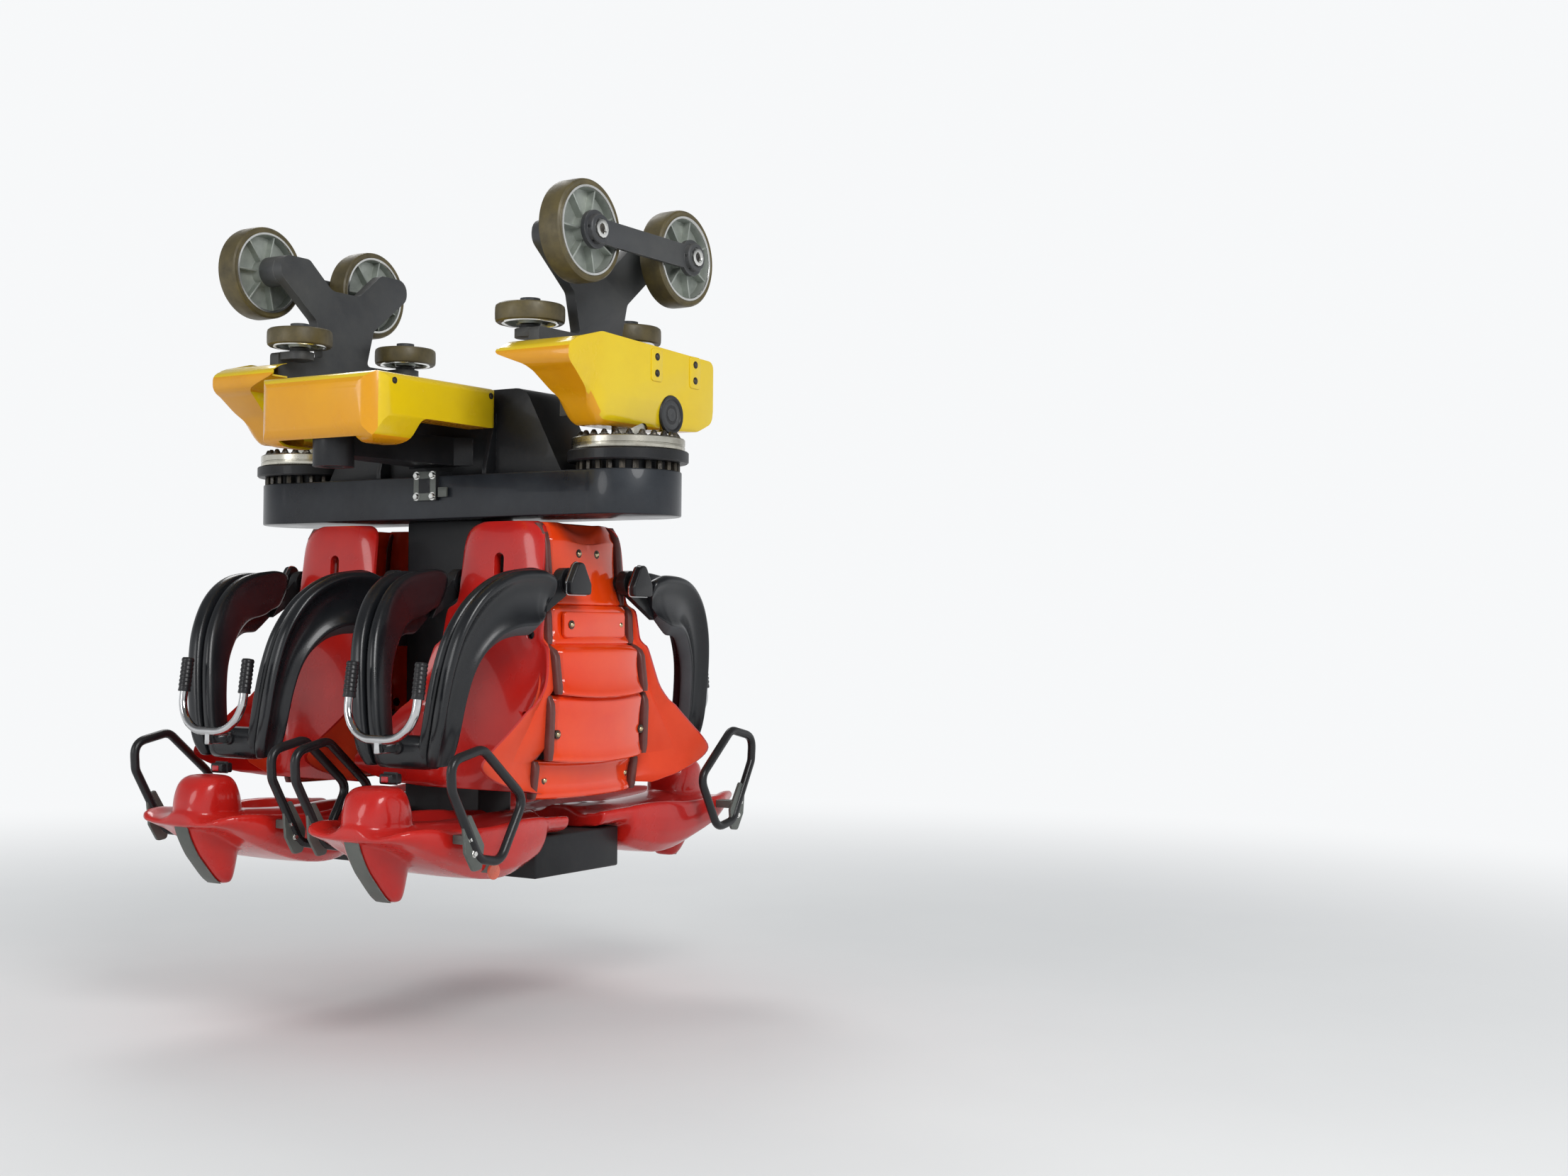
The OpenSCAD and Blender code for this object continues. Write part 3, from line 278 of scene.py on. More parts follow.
# %% Grain
grain, get, put = new_group(
    "fine_grain",
    [("Place", VECTOR, (0, 0, 0)), ("Scale", FLOAT, 300.0), ("Ripple", FLOAT, 0.0)],
    [("Height", FLOAT)])
fine = node(grain, "TexNoise", {"Vector": get.outputs["Place"], "Scale": get.outputs["Scale"],
                                "Detail": 3.0})
slow = node(grain, "TexNoise", {"Vector": get.outputs["Place"], "Scale": 9.0, "Detail": 1.0})
added = node(grain, "Math", {0: fine.outputs["Fac"],
                             1: multiply(grain, slow.outputs["Fac"], get.outputs["Ripple"])},
             operation="ADD")
grain.links.new(added.outputs[0], put.inputs["Height"])
print("group:", grain.name)

# %% [markdown]
# ## Finishes
# One recipe serves every plain finish. The table gives each its two colours, how rough it is,
# how metallic, its clear coat, dust, wear and bump. Numbers that are the same all over a surface
# are set on the shader's own sockets.

# %% The recipe
def place_group(tree, group, place, **values):
    made = tree.nodes.new("ShaderNodeGroup")
    made.node_tree = group
    tree.links.new(place, made.inputs["Place"])
    for label, value in values.items():
        made.inputs[label].default_value = value
    return made


def blend_colour(tree, mask, low, high):
    made = node(tree, "Mix", data_type="RGBA")
    tree.links.new(mask, made.inputs["Factor"])
    for socket, colour in (("A", low), ("B", high)):
        if isinstance(colour, bpy.types.NodeSocket):
            tree.links.new(colour, made.inputs[socket])
        else:
            made.inputs[socket].default_value = (*colour, 1)
    return made.outputs["Result"]


def finish_material(name, main, second, rough=(0.4, 0.55), metallic=0.0, coat=0.0, dusty=0.2,
                    worn=0.0, worn_colour=(0.3, 0.3, 0.3), bump=0.05, grain_scale=300.0,
                    ripple=0.0, cloud_scale=5.0, dust_colour=(0.17, 0.155, 0.13), sheen=0.0,
                    specular=0.5):
    material = bpy.data.materials.new(name)
    material.use_nodes = True
    tree = material.node_tree
    shader = tree.nodes["Principled BSDF"]
    place = node(tree, "TexCoord").outputs["Object"]
    cloudy = place_group(tree, clouds, place, Main=(*main, 1), Second=(*second, 1), Scale=cloud_scale)
    colour = cloudy.outputs["Colour"]
    if worn:
        edges = place_group(tree, wear, place, Reach=0.004, Amount=worn)
        colour = blend_colour(tree, edges.outputs["Mask"], colour, worn_colour)
    settled = place_group(tree, dust, place, Amount=dusty)
    colour = blend_colour(tree, settled.outputs["Mask"], colour, dust_colour)
    tree.links.new(colour, shader.inputs["Base Color"])
    roughness = node(tree, "MapRange", {"Value": cloudy.outputs["Mask"], "To Min": rough[0],
                                        "To Max": rough[1]})
    dull = node(tree, "Math", {0: roughness.outputs["Result"],
                               1: multiply(tree, settled.outputs["Mask"], 0.5)}, operation="ADD")
    tree.links.new(dull.outputs[0], shader.inputs["Roughness"])
    height = place_group(tree, grain, place, Scale=grain_scale, Ripple=ripple)
    bumped = node(tree, "Bump", {"Height": height.outputs["Height"], "Strength": bump,
                                 "Distance": 0.002})
    tree.links.new(bumped.outputs["Normal"], shader.inputs["Normal"])
    for label, value in (("Metallic", metallic), ("Coat Weight", coat), ("Coat Roughness", 0.06),
                         ("Sheen Weight", sheen), ("Specular IOR Level", specular)):
        shader.inputs[label].default_value = value
    return material


print("finish recipe ready")

# %% [markdown]
# Steel parts are painted black or grey. The paint is dull and dusty, with light scuffs on edges.
# The drums are bluer, and worn to a tan primer along their edges.

# %% Painted steel
black_paint = finish_material(
    "black_paint", (0.0085, 0.0088, 0.010), (0.020, 0.021, 0.024), rough=(0.34, 0.56), coat=0.06,
    dusty=0.10, worn=0.5, worn_colour=(0.13, 0.13, 0.135), bump=0.12, ripple=0.4, cloud_scale=3.0,
    specular=0.25)
drum_blue = finish_material(
    "drum_blue_grey", (0.010, 0.012, 0.017), (0.028, 0.033, 0.040), rough=(0.26, 0.46), coat=0.2,
    dusty=0.10, worn=0.8, worn_colour=(0.36, 0.30, 0.21), bump=0.08, ripple=0.5, cloud_scale=4.0,
    specular=0.3)
loop_black = finish_material(
    "loop_black", (0.009, 0.009, 0.0105), (0.018, 0.018, 0.02), rough=(0.24, 0.4), dusty=0.06,
    worn=0.25, worn_colour=(0.08, 0.08, 0.08), bump=0.1, grain_scale=500.0, specular=0.4)
frame_grey = finish_material(
    "frame_grey", (0.040, 0.042, 0.046), (0.075, 0.077, 0.076), rough=(0.4, 0.6), dusty=0.25,
    worn=0.6, worn_colour=(0.25, 0.25, 0.24), bump=0.15, ripple=0.5, specular=0.4)
bracket_grey = finish_material(
    "bracket_grey", (0.10, 0.11, 0.10), (0.17, 0.18, 0.165), rough=(0.35, 0.55), metallic=0.4,
    dusty=0.2, worn=0.5, worn_colour=(0.45, 0.45, 0.43), bump=0.1)
print("finishes so far:", len(bpy.data.materials))

# %% [markdown]
# Covers, seats and panels are glossy plastic mouldings. The covers are yellow; where they face to
# the ends or down they are painted amber, as painted shade. The side panels are orange, and their cheeks
# a duller one.

# %% Moulded shells
cover_yellow = finish_material(
    "cover_yellow", (0.84, 0.60, 0.008), (0.76, 0.50, 0.006), rough=(0.2, 0.34), coat=0.4,
    dusty=0.08, worn=0.12, worn_colour=(0.9, 0.78, 0.3), bump=0.02, ripple=1.6, cloud_scale=2.5,
    specular=0.3)
# The same yellow paint made darker and more orange: painted shade for faces turned to the ends or down.
cover_amber_painted_shade = finish_material(
    "cover_amber_painted_shade", (0.80, 0.36, 0.004), (0.70, 0.28, 0.003), rough=(0.22, 0.36), coat=0.4,
    dusty=0.10, worn=0.12, worn_colour=(0.9, 0.6, 0.2), bump=0.02, ripple=1.6, cloud_scale=2.5,
    specular=0.3)
seat_red = finish_material(
    "seat_red", (0.62, 0.016, 0.010), (0.44, 0.010, 0.010), rough=(0.22, 0.36), coat=0.5,
    dusty=0.04, worn=0.12, worn_colour=(0.75, 0.12, 0.08), bump=0.03, ripple=1.4, cloud_scale=3.5,
    specular=0.3)
panel_orange = finish_material(
    "panel_orange", (0.90, 0.064, 0.004), (0.80, 0.034, 0.004), rough=(0.12, 0.24), coat=0.7,
    dusty=0.03, worn=0.1, worn_colour=(0.9, 0.25, 0.1), bump=0.02, ripple=2.2, cloud_scale=3.0,
    specular=0.3)
cheek_orange = finish_material(
    "cheek_orange", (0.84, 0.075, 0.020), (0.74, 0.050, 0.014), rough=(0.4, 0.55), dusty=0.06,
    worn=0.1, worn_colour=(0.85, 0.2, 0.1), bump=0.08, ripple=1.0, cloud_scale=3.0, specular=0.3)
button_red = finish_material(
    "button_red", (0.5, 0.01, 0.02), (0.4, 0.01, 0.02), rough=(0.25, 0.35), coat=0.4, bump=0.03)
reflector_orange = finish_material(
    "reflector_orange", (0.85, 0.16, 0.07), (0.72, 0.11, 0.05), rough=(0.2, 0.3), coat=0.6,
    bump=0.3, grain_scale=700.0, dusty=0.05)
print("finishes so far:", len(bpy.data.materials))

# %% [markdown]
# The treads are olive, the pads have a black skin with a duller rim, and the strips along the
# panels are dark red. A fine grain breaks up their gloss.

# %% Rubber and foam
tread_olive = finish_material(
    "tread_olive", (0.115, 0.088, 0.030), (0.060, 0.047, 0.02), rough=(0.4, 0.6), dusty=0.12,
    bump=0.1, grain_scale=160.0, cloud_scale=22.0)
pad_black = finish_material(
    "pad_black", (0.0075, 0.0085, 0.0105), (0.014, 0.0155, 0.0185), rough=(0.24, 0.36), coat=0.15,
    dusty=0.03, bump=0.10, grain_scale=420.0, ripple=0.8, cloud_scale=5.0, specular=0.4)
pad_edge = finish_material(
    "pad_edge", (0.060, 0.064, 0.070), (0.085, 0.090, 0.096), rough=(0.55, 0.7), dusty=0.05,
    bump=0.25, grain_scale=520.0, cloud_scale=9.0, specular=0.4)
strip_rubber = finish_material(
    "strip_rubber", (0.105, 0.030, 0.026), (0.160, 0.052, 0.044), rough=(0.32, 0.48), dusty=0.08,
    bump=0.15, grain_scale=260.0, cloud_scale=14.0, specular=0.4)
print("finishes so far:", len(bpy.data.materials))

# %% [markdown]
# Metal is bare where it runs: a polished band, greasy studs, and cast wheels with bright rims. The
# handle is chrome. Clouded roughness makes metal look handled.

# %% Bare metal
ring_steel = finish_material(
    "ring_steel", (0.56, 0.54, 0.47), (0.30, 0.28, 0.23), rough=(0.2, 0.42), metallic=1.0,
    dusty=0.25, bump=0.06, grain_scale=180.0, cloud_scale=16.0, dust_colour=(0.06, 0.05, 0.035))
greased_steel = finish_material(
    "greased_steel", (0.030, 0.028, 0.026), (0.11, 0.095, 0.075), rough=(0.26, 0.6), metallic=0.7,
    dusty=0.2, worn=0.5, worn_colour=(0.35, 0.3, 0.22), bump=0.25, grain_scale=90.0,
    cloud_scale=30.0, dust_colour=(0.10, 0.07, 0.04))
wheel_cast = finish_material(
    "wheel_cast", (0.42, 0.45, 0.41), (0.26, 0.285, 0.255), rough=(0.38, 0.58), metallic=0.5,
    dusty=0.25, worn=0.4, worn_colour=(0.66, 0.66, 0.63), bump=0.3, grain_scale=220.0,
    cloud_scale=18.0, dust_colour=(0.12, 0.11, 0.08))
rim_bright = finish_material(
    "rim_bright", (0.78, 0.78, 0.75), (0.62, 0.62, 0.6), rough=(0.16, 0.3), metallic=1.0,
    dusty=0.08, bump=0.04, cloud_scale=20.0)
handle_chrome = finish_material(
    "handle_chrome", (0.62, 0.62, 0.63), (0.50, 0.50, 0.50), rough=(0.08, 0.2), metallic=1.0,
    dusty=0.04, bump=0.02, cloud_scale=24.0)
bolt_steel = finish_material(
    "bolt_steel", (0.66, 0.56, 0.36), (0.48, 0.38, 0.22), rough=(0.2, 0.36), metallic=1.0,
    dusty=0.1, bump=0.08, cloud_scale=60.0)
print("finishes:", len(bpy.data.materials))

# %% [markdown]
# The belt is woven: fine ribs run across it. A wave texture along the belt's height gives them,
# and a second one gives the threads, both only as bump.

# %% Webbing
webbing = finish_material(
    "webbing", (0.014, 0.014, 0.016), (0.026, 0.026, 0.028), rough=(0.6, 0.75), dusty=0.08,
    bump=0.2, sheen=0.1)
tree = webbing.node_tree
place = node(tree, "TexCoord").outputs["Object"]
ribs = node(tree, "TexWave", {"Vector": place, "Scale": 160.0}, bands_direction="Z")
threads = node(tree, "TexWave", {"Vector": place, "Scale": 240.0}, bands_direction="Y")
weave = node(tree, "Math", {0: ribs.outputs["Fac"], 1: threads.outputs["Fac"]}, operation="ADD")
weave_bump = node(tree, "Bump", {"Height": weave.outputs[0], "Strength": 0.5, "Distance": 0.001})
tree.links.new(weave_bump.outputs["Normal"], tree.nodes["Principled BSDF"].inputs["Normal"])
print("webbing woven")

# %% [markdown]
# ## Ways of working
# Every piece starts as a primitive. These helpers select in code what a hand would click, and add
# a modifier and apply it at once, so that each step works on plain faces.

# %% Selecting and modifiers
def only(obj):
    if bpy.context.object and bpy.context.object.mode != "OBJECT":
        bpy.ops.object.mode_set(mode="OBJECT")
    bpy.ops.object.select_all(action="DESELECT")
    if obj:
        obj.select_set(True)
        bpy.context.view_layer.objects.active = obj


def pick_faces(obj, test):
    only(obj)
    bpy.ops.object.mode_set(mode="EDIT")
    bpy.ops.mesh.select_mode(type="FACE")
    bpy.ops.mesh.select_all(action="DESELECT")
    bpy.ops.object.mode_set(mode="OBJECT")
    for face in obj.data.polygons:
        face.select = test(face.center, face.normal)
    bpy.ops.object.mode_set(mode="EDIT")


def modify(obj, kind, **settings):
    only(obj)
    bpy.ops.object.modifier_add(type=kind)
    modifier = obj.modifiers[-1]
    for key, value in settings.items():
        setattr(modifier, key, value)
    bpy.ops.object.modifier_apply(modifier=modifier.name)
    return obj


def outward(obj):
    only(obj)
    bpy.ops.object.mode_set(mode="EDIT")
    bpy.ops.mesh.select_all(action="SELECT")
    bpy.ops.mesh.normals_make_consistent(inside=False)
    bpy.ops.object.mode_set(mode="OBJECT")
    return obj


print("edit helpers ready")

# %% [markdown]
# What repeats is modelled once. A twin is a copy with a mesh of its own; where its matrix mirrors,
# its faces are turned back outwards. Settling ends a piece: its place goes into its mesh, it is
# shaded smooth up to an angle, and it rides on a body in place of the nodes it stands for.

# %% Joining, copying and settling
def paint(obj, material):
    obj.data.materials.clear()
    obj.data.materials.append(material)
    return obj


def joined(name, parts):
    only(parts[0])
    for part in parts:
        part.select_set(True)
    if len(parts) > 1:
        bpy.ops.object.join()
    bpy.context.object.name = name
    return bpy.context.object


def settle(obj, name, body, replaces=(), angle=40):
    only(obj)
    obj.name = name
    obj.data.name = name
    bpy.ops.object.transform_apply(location=True, rotation=True, scale=True)
    bpy.ops.object.shade_smooth_by_angle(angle=math.radians(angle))
    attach(obj, body)
    if replaces:
        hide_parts(*replaces)
    return obj


def twin(obj, matrix):
    copy = obj.copy()
    copy.data = obj.data.copy()
    bpy.context.scene.collection.objects.link(copy)
    copy.data.transform(matrix)
    if matrix.determinant() < 0:
        copy.data.flip_normals()
    return copy


def discard(*objs):
    for obj in objs:
        bpy.data.objects.remove(obj)


print("piece helpers ready")

# %% [markdown]
# A moulded skin through a row of rings starts as a sphere. The sphere already has rings between
# two poles and is closed, so each of its rings is only carried to its place. A band of its sides
# can take a second finish.

# %% Skins
AROUND = 0.001  # keeps a point at angle zero first when points are sorted by their angle


def by_angle(vertex):
    return (math.atan2(vertex.co.y, vertex.co.x) + AROUND) % math.tau


def skin(rings, band=None):
    only(None)
    bpy.ops.mesh.primitive_uv_sphere_add(segments=len(rings[0]), ring_count=len(rings) + 1)
    obj = bpy.context.object
    levels = {}
    for vertex in obj.data.vertices:
        levels.setdefault(round(-vertex.co.z, 5), []).append(vertex)
    ends = [[sum((Vector(p) for p in ring), Vector()) / len(ring)] for ring in (rings[0], rings[-1])]
    for (level, vertices), ring in zip(sorted(levels.items()), [ends[0], *rings, ends[1]]):
        vertices.sort(key=by_angle)
        for vertex, point in zip(vertices, ring):
            vertex.co = point
    if band:
        in_band = {v.index for vertices in levels.values() if len(vertices) > 1
                   for v in vertices[band[0]:band[1] + 1]}
        for face in obj.data.polygons:
            face.material_index = int(all(i in in_band for i in face.vertices))
    return outward(obj)


print("skin ready")

# %% [markdown]
# A turned part, such as a wheel, is a skin with round rings, from a profile of radius and height.
# A tube carries a circle along its path without letting it twist, and a closed one starts as a
# torus, which has no ends to close.

# %% Turned parts and tubes
def turned(profile, segments=48, place=(0, 0, 0), along_x=False):
    angles = [math.tau * i / segments for i in range(segments)]
    obj = skin([[(radius * math.cos(a), radius * math.sin(a), height) for a in angles]
                for radius, height in profile])
    turn = Matrix.Rotation(math.radians(90), 4, "Y") if along_x else Matrix()
    obj.data.transform(Matrix.Translation(place) @ turn)
    return obj


def tube(points, radius, sides=12, closed=False):
    points = [Vector(p) for p in points]
    count = len(points)
    rings, across = [], None
    for i, point in enumerate(points):
        before = points[i - 1] if closed or i else points[0]
        after = points[(i + 1) % count] if closed or i < count - 1 else points[-1]
        along = (after - before).normalized()
        across = across or along.orthogonal().normalized()
        across = (across - along * across.dot(along)).normalized()
        over = along.cross(across)
        rings.append([point + radius * (math.cos(a) * across + math.sin(a) * over)
                      for a in (math.tau * k / sides for k in range(sides))])
    if not closed:
        return skin(rings)
    only(None)
    bpy.ops.mesh.primitive_torus_add(major_segments=count, minor_segments=sides)
    obj = bpy.context.object
    for vertex, point in zip(obj.data.vertices, (p for ring in rings for p in ring)):
        vertex.co = point
    return outward(obj)


print("turning and tubes ready")

# %% [markdown]
# Plates start as a filled circle whose points are set to the outline, and are extruded; a bevel
# modifier rounds them. Blocks start as a cube and are bevelled in edit mode. No real edge is sharp.

# %% Plates and blocks
def round_corners(outline, steps=5):
    points = []
    for i, (x, y, radius) in enumerate(outline):
        corner = Vector((x, y))
        before = (Vector(outline[i - 1][:2]) - corner).normalized()
        after = (Vector(outline[(i + 1) % len(outline)][:2]) - corner).normalized()
        if radius <= 0:
            points.append(tuple(corner))
            continue
        half = before.angle(after) / 2
        start = corner + before * radius / math.tan(half)
        end = corner + after * radius / math.tan(half)
        for k in range(steps + 1):
            t = k / steps
            points.append(tuple((1 - t) ** 2 * start + 2 * t * (1 - t) * corner + t * t * end))
    return points


def bevel_all(obj, width, segments=2, angle=30):
    return modify(obj, "BEVEL", width=width, segments=segments, limit_method="ANGLE",
                  angle_limit=math.radians(angle), use_clamp_overlap=True)


def plate(outline, thickness, bevel=0.001, segments=2):
    only(None)
    bpy.ops.mesh.primitive_circle_add(vertices=len(outline), fill_type="NGON")
    obj = bpy.context.object
    for vertex, (x, y) in zip(sorted(obj.data.vertices, key=by_angle), outline):
        vertex.co = (x, y, 0)
    bpy.ops.object.mode_set(mode="EDIT")
    bpy.ops.mesh.select_all(action="SELECT")
    bpy.ops.mesh.extrude_region_move(TRANSFORM_OT_translate={"value": (0, 0, thickness)})
    bpy.ops.object.mode_set(mode="OBJECT")
    outward(obj)
    return bevel_all(obj, bevel, segments) if bevel else obj


def block(low, high, bevel=0.002, segments=2):
    only(None)
    low, high = Vector(low), Vector(high)
    bpy.ops.mesh.primitive_cube_add(size=1, location=(low + high) / 2, scale=high - low)
    obj = bpy.context.object
    bpy.ops.object.transform_apply(location=True, rotation=True, scale=True)
    bpy.ops.object.mode_set(mode="EDIT")
    bpy.ops.mesh.select_all(action="SELECT")
    bpy.ops.mesh.bevel(offset=bevel, segments=segments, affect="EDGES")
    bpy.ops.object.mode_set(mode="OBJECT")
    return obj


STAND_XZ = Matrix.Rotation(math.radians(90), 4, "X")
STAND_YZ = Matrix(((0, 0, 1, 0), (1, 0, 0, 0), (0, 1, 0, 0), (0, 0, 0, 1)))
print("plates and blocks ready")

# %% [markdown]
# Where the CAD shape is already right, a copy of its mesh is dressed and the node stays as it is.
# A CAD mesh is loose triangles, so the copy's doubles are merged and flat edges dissolved first;
# only then does a bevel find the sharp edges.

# %% A rounded copy of a CAD node
def carved(node_name, bevel, angle=32, segments=3):
    copy = nodes[node_name].copy()
    copy.data = nodes[node_name].data.copy()
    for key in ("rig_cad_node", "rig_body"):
        if key in copy:
            del copy[key]
    copy.parent = None
    copy.hide_render = copy.hide_viewport = False
    bpy.context.scene.collection.objects.link(copy)
    only(copy)
    bpy.ops.object.mode_set(mode="EDIT")
    bpy.ops.mesh.select_all(action="SELECT")
    bpy.ops.mesh.remove_doubles(threshold=0.00005)
    bpy.ops.mesh.dissolve_limited(angle_limit=math.radians(1.5))
    bpy.ops.object.mode_set(mode="OBJECT")
    return bevel_all(copy, bevel, segments, angle)


print("carving ready")

# %% [markdown]
# ## Wheels
# Each wheel is a cast hub with radial ribs, a bright machined rim and a tread of poured
# polyurethane. One profile, given as radius and height, is turned for each of the three sizes.
# The faces are then given their finish by how far out they lie. The table gives radius, width,
# axle and the number of ribs.

# %% One wheel of each size
def make_wheel(radius, width, axle, ribs):
    tread, hub_wall, rim_lip, rib_half = 0.018, 0.016, 0.0095, 0.0028
    rim, hub, half = radius - tread, axle / 2 + hub_wall, width / 2
    side = [(axle / 2 - 0.004, half), (hub - 0.005, half), (hub - 0.002, half - 0.001),
            (hub, half - 0.004), (hub + 0.003, 0.10 * width), (hub + 0.007, 0.085 * width),
            (rim - 0.016, 0.085 * width), (rim - 0.012, 0.10 * width), (rim - 0.009, half - 0.005),
            (rim - 0.007, half - 0.0025), (rim - 0.001, half - 0.0025), (rim, half - 0.006),
            (rim + 0.002, half - 0.0065), (radius - 0.007, half - 0.0035),
            (radius - 0.002, half - 0.0075), (radius - 0.0004, half - 0.014)]
    profile = side + [(radius, 0)] + [(r, -z) for r, z in reversed(side)]
    wheel = turned(profile, 72)
    for finish in (wheel_cast, rim_bright, tread_olive, greased_steel):
        wheel.data.materials.append(finish)
    for face in wheel.data.polygons:
        out = math.hypot(face.center.x, face.center.y)
        greasy = 3 if out < hub - 0.003 else 0
        face.material_index = 2 if out > rim else 1 if out > rim - rim_lip else greasy
    parts = [wheel]
    for i in range(ribs):
        for face in (-1, 1):
            rib = block((hub - 0.004, -rib_half, 0.05 * width),
                        (rim - 0.007, rib_half, half - 0.008), 0.0012, 1)
            pick_faces(rib, lambda c, n: n.z > 0.9)
            bpy.ops.transform.resize(value=(0.97, 0.6, 1.0))
            only(rib)
            turn = Matrix.Rotation(math.tau * (i + 0.5 * (face > 0)) / ribs, 4, "Z")
            rib.data.transform(turn @ Matrix.Diagonal((1, 1, face, 1)))
            if face < 0:
                rib.data.flip_normals()
            parts.append(paint(rib, wheel_cast))
    return joined("wheel_start", parts)


WHEELS = {"road": (0.145, 0.080, 0.050, 7), "side": (0.100, 0.060, 0.036, 5),
          "stop": (0.070, 0.060, 0.036, 5)}
SIDES = {"left": -1, "right": 1}
ENDS = {"front": -1, "rear": 1}
for kind, sizes in WHEELS.items():
    start = make_wheel(*sizes)
    for side in SIDES:
        for end in ENDS:
            name = f"{kind}_wheel_{side}_{end}"
            low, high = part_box(name)
            lay = Matrix() if kind == "side" else Matrix.Rotation(math.radians(90), 4, "X")
            wheel = twin(start, Matrix.Translation((low + high) / 2) @ lay)
            settle(wheel, name + "_tyre", f"{kind}_rotor_{side}_{end}", [name], 35)
    print(kind, "wheel:", len(start.data.polygons), "faces")
    discard(start)

# %% [markdown]
# ## Slewing rings
# Below each bogie a large bearing lets it steer. From above it shows a crown of pointed studs, a
# polished band, a dark flange and a row of greasy bolt heads. One stud and one bolt are made and
# copied round the ring.

# %% Studs, bolt heads and bands
RAIL_Y = 0.640
BAND_Z, FLANGE_Z, BOLT_Z, DRUM_Z, TURRET_Z = -0.345, -0.3815, -0.4155, -0.4405, -0.284
STUD_COUNT, STUD_RING, BOLT_RING = 24, 0.141, 0.142


def ring_of(start, count, radius, centre, offset=0.0):
    made = []
    for i in range(count):
        turn = Matrix.Rotation(math.tau * (i + offset) / count, 4, "Z")
        made.append(twin(start, Matrix.Translation(centre) @ turn @ Matrix.Translation((radius, 0, 0))))
    return made


def hex_bolt(radius, height, washer=True):
    parts = [turned([(radius * 0.55, 0), (radius, 0), (radius, height * 0.8),
                     (radius * 0.86, height)], 6)]
    if washer:
        parts.append(turned([(radius * 0.6, -0.001), (radius * 1.3, -0.001),
                             (radius * 1.3, height * 0.18), (radius * 0.6, height * 0.2)], 18))
    return joined("bolt_start", parts)


stud = paint(turned([(0.004, 0), (0.0105, 0), (0.0105, 0.006), (0.009, 0.010), (0.0055, 0.0165),
                     (0.002, 0.0178)], 10), greased_steel)
washer = paint(turned([(0.006, 0), (0.0145, 0), (0.0145, 0.004), (0.006, 0.0045)], 14), greased_steel)
crown_stud = joined("crown_stud", [stud, washer])
cap_bolt = paint(hex_bolt(0.0095, 0.0235, False), greased_steel)
for side, y in SIDES.items():
    centre = Vector((0, y * RAIL_Y, 0))
    band = paint(turned(
        [(0.02, FLANGE_Z + 0.0006), (0.150, FLANGE_Z + 0.0006), (0.1640, FLANGE_Z + 0.0012),
         (0.165, FLANGE_Z + 0.003), (0.165, FLANGE_Z + 0.012), (0.1635, FLANGE_Z + 0.0135),
         (0.1635, FLANGE_Z + 0.0155), (0.165, FLANGE_Z + 0.017), (0.165, BAND_Z - 0.003),
         (0.1625, BAND_Z - 0.0004), (0.128, BAND_Z), (0.124, BAND_Z - 0.005),
         (0.118, BAND_Z - 0.005), (0.114, BAND_Z), (0.052, BAND_Z), (0.050, BAND_Z + 0.002),
         (0.050, TURRET_Z)], 96, centre), ring_steel)
    king = paint(turned([(0.02, DRUM_Z + 0.002), (0.060, DRUM_Z + 0.002), (0.060, FLANGE_Z + 0.001),
                         (0.02, FLANGE_Z + 0.001)], 48, centre), ring_steel)
    studs = ring_of(crown_stud, STUD_COUNT, STUD_RING, centre + Vector((0, 0, BAND_Z)), 0.5)
    settle(joined("turret_parts", [band, king, *studs]), f"turret_{side}_ring", f"bogie_{side}",
           [f"turret_{side}"], 32)
    flange = paint(turned(
        [(0.062, DRUM_Z + 0.0003), (0.125, DRUM_Z + 0.0003), (0.125, BOLT_Z), (0.172, BOLT_Z),
         (0.176, BOLT_Z + 0.004), (0.176, FLANGE_Z - 0.004), (0.173, FLANGE_Z - 0.0006),
         (0.062, FLANGE_Z - 0.0006)], 96, centre), black_paint)
    bolts = ring_of(cap_bolt, STUD_COUNT, BOLT_RING, centre + Vector((0, 0, DRUM_Z + 0.0008)))
    parts = joined("ring_parts", [flange, *bolts])
    settle(parts, f"slew_ring_{side}", "car_frame", ["slew_rings"], 32)
discard(crown_stud, cap_bolt)
print("slewing rings dressed")

# %% [markdown]
# ## Steelwork and covers
# The welded beam, tower and bogie plates already have the right shape. Each gets a copy of its
# mesh with every sharp edge rounded, because it is the thin bright line along an edge that makes
# painted steel look real. The table gives the width of the round, the finish and the slot.

# %% Rounded steel
STEEL = [
    ("yoke_beam", 0.004, drum_blue, "black_paint"), ("tower", 0.004, black_paint, "black_paint"),
    ("rear_clevis", 0.003, black_paint, "black_paint"),
    ("coupler_arm", 0.004, black_paint, "black_paint"),
    ("backbone", 0.006, black_paint, "black_paint"), ("hinge_tubes", 0.002, black_paint, "black_paint"),
    ("seat_beams", 0.003, black_paint, "black_paint"),
    ("bogie_frame_left", 0.002, frame_grey, "frame_grey"),
    ("bogie_frame_right", 0.002, frame_grey, "frame_grey"),
    ("wheel_link_left", 0.002, frame_grey, "frame_grey"),
    ("wheel_link_right", 0.002, frame_grey, "frame_grey"),
]


def body_of(name):
    bodies = frame["record"]["behaviour"]["bodies"]
    return next(body for body, members in bodies.items() if name in members)


for name, bevel, finish, slot in STEEL:
    settle(paint(carved(name, bevel, 32, 2), finish), name + "_shell", body_of(name), [name], 35)
print("rounded steel:", len(STEEL), "pieces")
